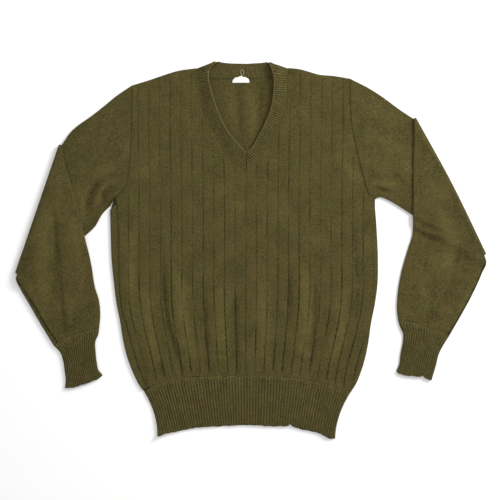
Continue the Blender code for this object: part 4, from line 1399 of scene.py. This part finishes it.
def v_columns(seam_rows, free_rows):
    """Seam and free points of the ribs up one half of the V, and which columns end on the mitre."""
    seam, free = curve(points(seam_rows)), curve(points(free_rows))
    share = np.linspace(0, 1, NECK_RIBS_FRONT * POINTS_EACH_RIB + 1)
    mitre = SQUARE_ACROSS["seam"][0]
    up_mitre = np.clip(share / mitre, 0, 1)[:, None]
    on_mitre = (1 - up_mitre) * seam(0.0) + up_mitre * free(0.0)
    on_edge = free(np.interp(share, SQUARE_ACROSS["seam"], SQUARE_ACROSS["free"]))
    return seam(share), np.where(share[:, None] < mitre, on_mitre, on_edge), share < mitre - share[1]


def neck_columns():
    """Every column of the ring: seam point, free point, angle of the turn, place among the ribs."""
    up_seam, up_free, up_mitre = v_columns(V_SEAM_MINUS, V_FREE_MINUS)
    down_seam, down_free, down_mitre = (way[::-1] for way in v_columns(V_SEAM_PLUS, V_FREE_PLUS))
    share = np.linspace(0, 1, NECK_RIBS_BACK * POINTS_EACH_RIB + 1)
    back_seam = curve(points(NECK_BACK, "seam_x", "seam_y"))(share)
    back_free = [np.interp(share, NECK_BACK["share"], NECK_BACK[key]) for key in ("free_x", "free_y")]
    turn = len(NECK_TURN)
    front, still, back = len(up_seam), np.zeros(turn), len(share)
    sizes = (front, turn, back, turn, front)
    front_ribs, back_ribs = np.linspace(0, NECK_RIBS_FRONT, front), np.linspace(0, NECK_RIBS_BACK, back)

    def round_ring(*stretches):
        return np.concatenate([np.broadcast_to(values, size) for values, size in zip(stretches, sizes)])

    return {
        "seam": np.concatenate([up_seam, [up_seam[-1]] * turn, back_seam, [down_seam[0]] * turn, down_seam]),
        "free": np.concatenate(
            [up_free, [up_free[-1]] * turn, np.column_stack(back_free), [down_free[0]] * turn, down_free]
        ),
        "angle": np.radians(round_ring(90.0, NECK_TURN, -90.0, NECK_TURN[::-1], 90.0)),
        "ribs": round_ring(front_ribs, still, back_ribs, still, front_ribs[::-1]),
        "ribbed": round_ring(1, still, 1, still, 1),
        "mitred": round_ring(up_mitre, still, 0, still, down_mitre).astype(bool),
    }


# %% [markdown]
# With the columns known, the band is made row by row from its seam to its free edge. In front the free edge
# stands up a little, more towards the shoulders, because the band is tighter than the cloth it is sewn to. The
# columns that end on the mitre all run to the same line, so their points there are made one.

# %% Make the neckband
CORNERS_X = (-64, 34)
CORNER_RISE = 2.8
STANDS_LOW = 3.0
STANDS_HIGH = 6.4
TURN_REACH = 0.45
MITRE_DIP = 0.9


def joined_triangles(middle, grid):
    """Triangles of a grid whose points in one place are made one, and which points are kept."""
    _, kept, place = np.unique(np.round(middle, 3), axis=0, return_index=True, return_inverse=True)
    triangles = place.ravel()[np.concatenate([grid[:, [0, 1, 2]], grid[:, [0, 2, 3]]])]
    a, b, c = triangles.T
    return kept, triangles[(a != b) & (b != c) & (a != c)]


def neckband():
    ring = neck_columns()
    run = ring["free"] - ring["seam"]
    width = np.linalg.norm(run, axis=1)
    square = run[:, ::-1] * (-1, 1)
    outwards = square / np.maximum(width, ON_EDGE)[:, None] * np.where(square[:, 1:] < 0, -1, 1)
    angle, ribs, ribbed, mitred = (ring[key] for key in ("angle", "ribs", "ribbed", "mitred"))
    in_front = (1 + np.sin(angle)) / 2
    v_seam = ring["seam"][in_front > 0.99]
    ring_length = np.linalg.norm(np.diff(ring["seam"], axis=0), axis=1).sum()
    layers, maps = ([], [], []), ([], [], [])
    for row in NECK_ROWS:
        plan = ring["seam"] + row * run
        from_corner = np.minimum(*(abs(plan[:, 0] - x) for x in CORNERS_X))
        plan[:, 1] += CORNER_RISE * row * (1 - in_front) * bell(from_corner, 8)
        from_free = (1 - row) * width
        from_seam = np.where(mitred, gap_to(plan, v_seam), row * width)
        soft = np.minimum(edge_profile(from_seam, SEWN_RADIUS), np.where(mitred, 1, edge_profile(from_free)))
        at_rim = np.where(mitred, 0, bell(from_free - 1.3, 1.1)) * ribbed
        at_mitre = np.where(mitred, bell(from_free, 1.3), 0)
        full_rib = np.where(mitred, 1, smooth_step(from_free / 3.2))
        full_rib = full_rib * (0.35 + 0.65 * smooth_step(from_seam / 4))
        wave = RIB_DEPTH * (rib_wave(ribs) - 0.45) * ribbed * soft * full_rib
        stands = STANDS_LOW + (STANDS_HIGH - STANDS_LOW) * smooth_step((plan[:, 1] - 180) / 130)
        raise_free = (stands * smooth_step(from_seam / 22) + 0.5 * waves(plan, 40, 91)) * in_front * soft
        relief = (wave - MITRE_DIP * at_mitre + 0.55 * at_rim) * in_front
        outer = TURN_RADIUS + HALF_WALL * soft + relief
        inner = TURN_RADIUS - HALF_WALL * soft - np.minimum(wave, 0) * (1 - in_front)
        full = 1 + TURN_REACH * row * (ribbed == 0)
        for radius, rows in zip((outer, inner, TURN_RADIUS), layers):
            reach = outwards * (radius * np.cos(angle) * full)[:, None]
            rows.append(with_height(plan + reach, TURN_Z + radius * np.sin(angle) + raise_free))
        # Painted shade in the dips between the ribs and a painted highlight on their crests; the rolled free
        # rim gets a painted highlight too.
        painted_dip_shading = (1.25 * rib_dips(ribs) - 0.24) * ribbed * full_rib
        lines = 0.7 * bell(from_seam, 1.7) * (1 - in_front) + 0.9 * at_mitre
        maps[0].append((row == 0) | ((row == 1) & ~mitred))
        maps[1].append(np.column_stack([2 * ribs, from_seam / COURSE]))
        maps[2].append(np.maximum(painted_dip_shading, lines) - 0.45 * at_rim * in_front)
    grid = ring_faces(len(NECK_ROWS), len(angle), closed=False)
    kept, triangles = joined_triangles(np.concatenate(layers[2]), grid)
    outer, inner, middle, *maps = (np.concatenate(rows)[kept] for rows in (*layers, *maps))
    triangles = faces_turned_up(outer, triangles)
    piece = cloth("neckband_rib", "neckband", "olive_rib", rib_wool, outer, inner, triangles, *maps)
    size = (ring_length * MM, float(width.max()) * MM)
    laid(piece, size, area_of(middle, triangles))


neckband()

# %% [markdown]
# ## The label and the hanging loop
# A small blank label is sewn over the seam inside the back neck: straight below, half-moon above. It is
# woven ribbon, so it is thin and smooth beside the wool. Its threads cross too finely to be modelled, so they
# are two waves in the bump.


# %% Woven label
THREAD = 0.5 * MM


def woven_white():
    wire = Wiring("label white")
    place = wire.place()
    tone_source = wire.range(wire.noise(place, 160.0, 3.0), 0.35, 0.7, 0.0, 1.0)
    colour = wire.mix(tone_source, (0.86, 0.85, 0.82), (0.70, 0.68, 0.62))
    colour = wire.mix(wire.attribute("seam_lines_and_painted_light"), colour, (0.34, 0.32, 0.24))
    wire.link(colour, wire.shader.inputs["Base Color"])
    wire.settle({"Roughness": 0.62})
    warp, weft = (
        wire.math("SINE", wire.math("MULTIPLY", way, math.tau / THREAD)) for way in wire.apart(place)
    )
    wire.bump(wire.math("MULTIPLY", warp, weft), 0.08, 0.35)
    return wire.material


LABEL_CENTRE_X = -17.8
LABEL_LOW_Y = 308.0
LABEL_HALF_WIDTH = 15.8
LABEL_HEIGHT = 13.0
LABEL_MIDDLE_Z = 2.95
LABEL_HALF_THICK = 0.4
LABEL_SPACING = 1.6
SEWING_INSET = 1.6
SEWING_WIDTH = 0.45


def label_piece(material):
    angle = np.linspace(0, math.pi, 61)
    rim_y = LABEL_LOW_Y + LABEL_HEIGHT * np.sin(angle) ** 0.8
    rim = np.column_stack([LABEL_CENTRE_X + LABEL_HALF_WIDTH * np.cos(angle), rim_y])
    rim[:, 1] += 0.9 * waves(rim, 6, 101) * np.sin(angle) ** 0.5
    rim[:, 1] += 1.8 * bell(rim[:, 0] - LABEL_CENTRE_X, 1.8) - 1.6 * np.sin(angle) ** 2
    outline = np.concatenate([rim, np.linspace(rim[-1], rim[0], 31)[1:-1]])
    spread = pairs(np.arange(-34, 18, LABEL_SPACING), np.arange(306, 323, LABEL_SPACING))
    flat, faces = triangles_within(outline, spread, np.array, np.array)
    gap = gap_to(flat, closed_line(outline))
    half = LABEL_HALF_THICK * edge_profile(gap)
    over_seam = smooth_step((flat[:, 1] - 312) / 4) * smooth_step((322 - flat[:, 1]) / 6)
    sewn = bell(gap - SEWING_INSET, SEWING_WIDTH) * (np.sin(flat[:, 0] * 2.6 + flat[:, 1] * 2.1) > -0.2)
    middle = LABEL_MIDDLE_Z + 0.35 * waves(flat, 22, 102) + 0.5 * over_seam - 0.15 * sewn
    piece = cloth(
        "label_white", "label", "label_white", material, with_height(flat, middle + half),
        with_height(flat, middle - half), faces, gap < ON_EDGE, flat / (WALE, COURSE), 0.35 * sewn,
    )
    laid(piece, extent(flat), area_of(with_height(flat, 0), faces))


label_piece(woven_white())

# %% [markdown]
# The loop once held the sweater on a hook. It is a flat tape folded in a narrow bow, so its section is an
# ellipse that is carried along the bow, a little above the band.

# %% Hanging loop
BOW_CENTRE = (-15.6, 326.5)
BOW_HALF = (2.6, 5.6)
BOW_Z = 3.2
TAPE_HALF = (0.9, 0.45)
BOW_POINTS = 72
TAPE_POINTS = 12


def circle(count):
    """Points round a circle of radius 1."""
    angle = np.linspace(0, math.tau, count, endpoint=False)
    return np.column_stack([np.cos(angle), np.sin(angle)])


def hanging_loop():
    wire = Wiring("beige tape")
    ply = wire.range(wire.noise(wire.place(), 900.0, 1.0), 0.35, 0.65, 0.0, 1.0)
    wire.link(wire.mix(ply, (0.24, 0.21, 0.12), (0.15, 0.13, 0.07)), wire.shader.inputs["Base Color"])
    wire.settle({"Roughness": 0.85})
    wire.bump(ply, 0.1)
    outwards = circle(BOW_POINTS)
    rings = [
        with_height(outwards * BOW_HALF + BOW_CENTRE + across * outwards, BOW_Z + up)
        for across, up in circle(TAPE_POINTS) * TAPE_HALF
    ]
    tape = np.stack(rings, axis=1).reshape(-1, 3)
    quads = np.roll(ring_faces(BOW_POINTS + 1, TAPE_POINTS)[:, ::-1], 1, axis=1) % len(tape)
    mesh = bpy.data.meshes.new("hanging_loop")
    mesh.from_pydata((tape * MM).tolist(), [], quads.tolist())
    mesh.shade_smooth()
    mesh.materials.append(wire.material)
    loop = add_to_scene("hanging_loop", mesh)
    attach(loop, "root")
    print("loop", len(quads), "faces")


hanging_loop()
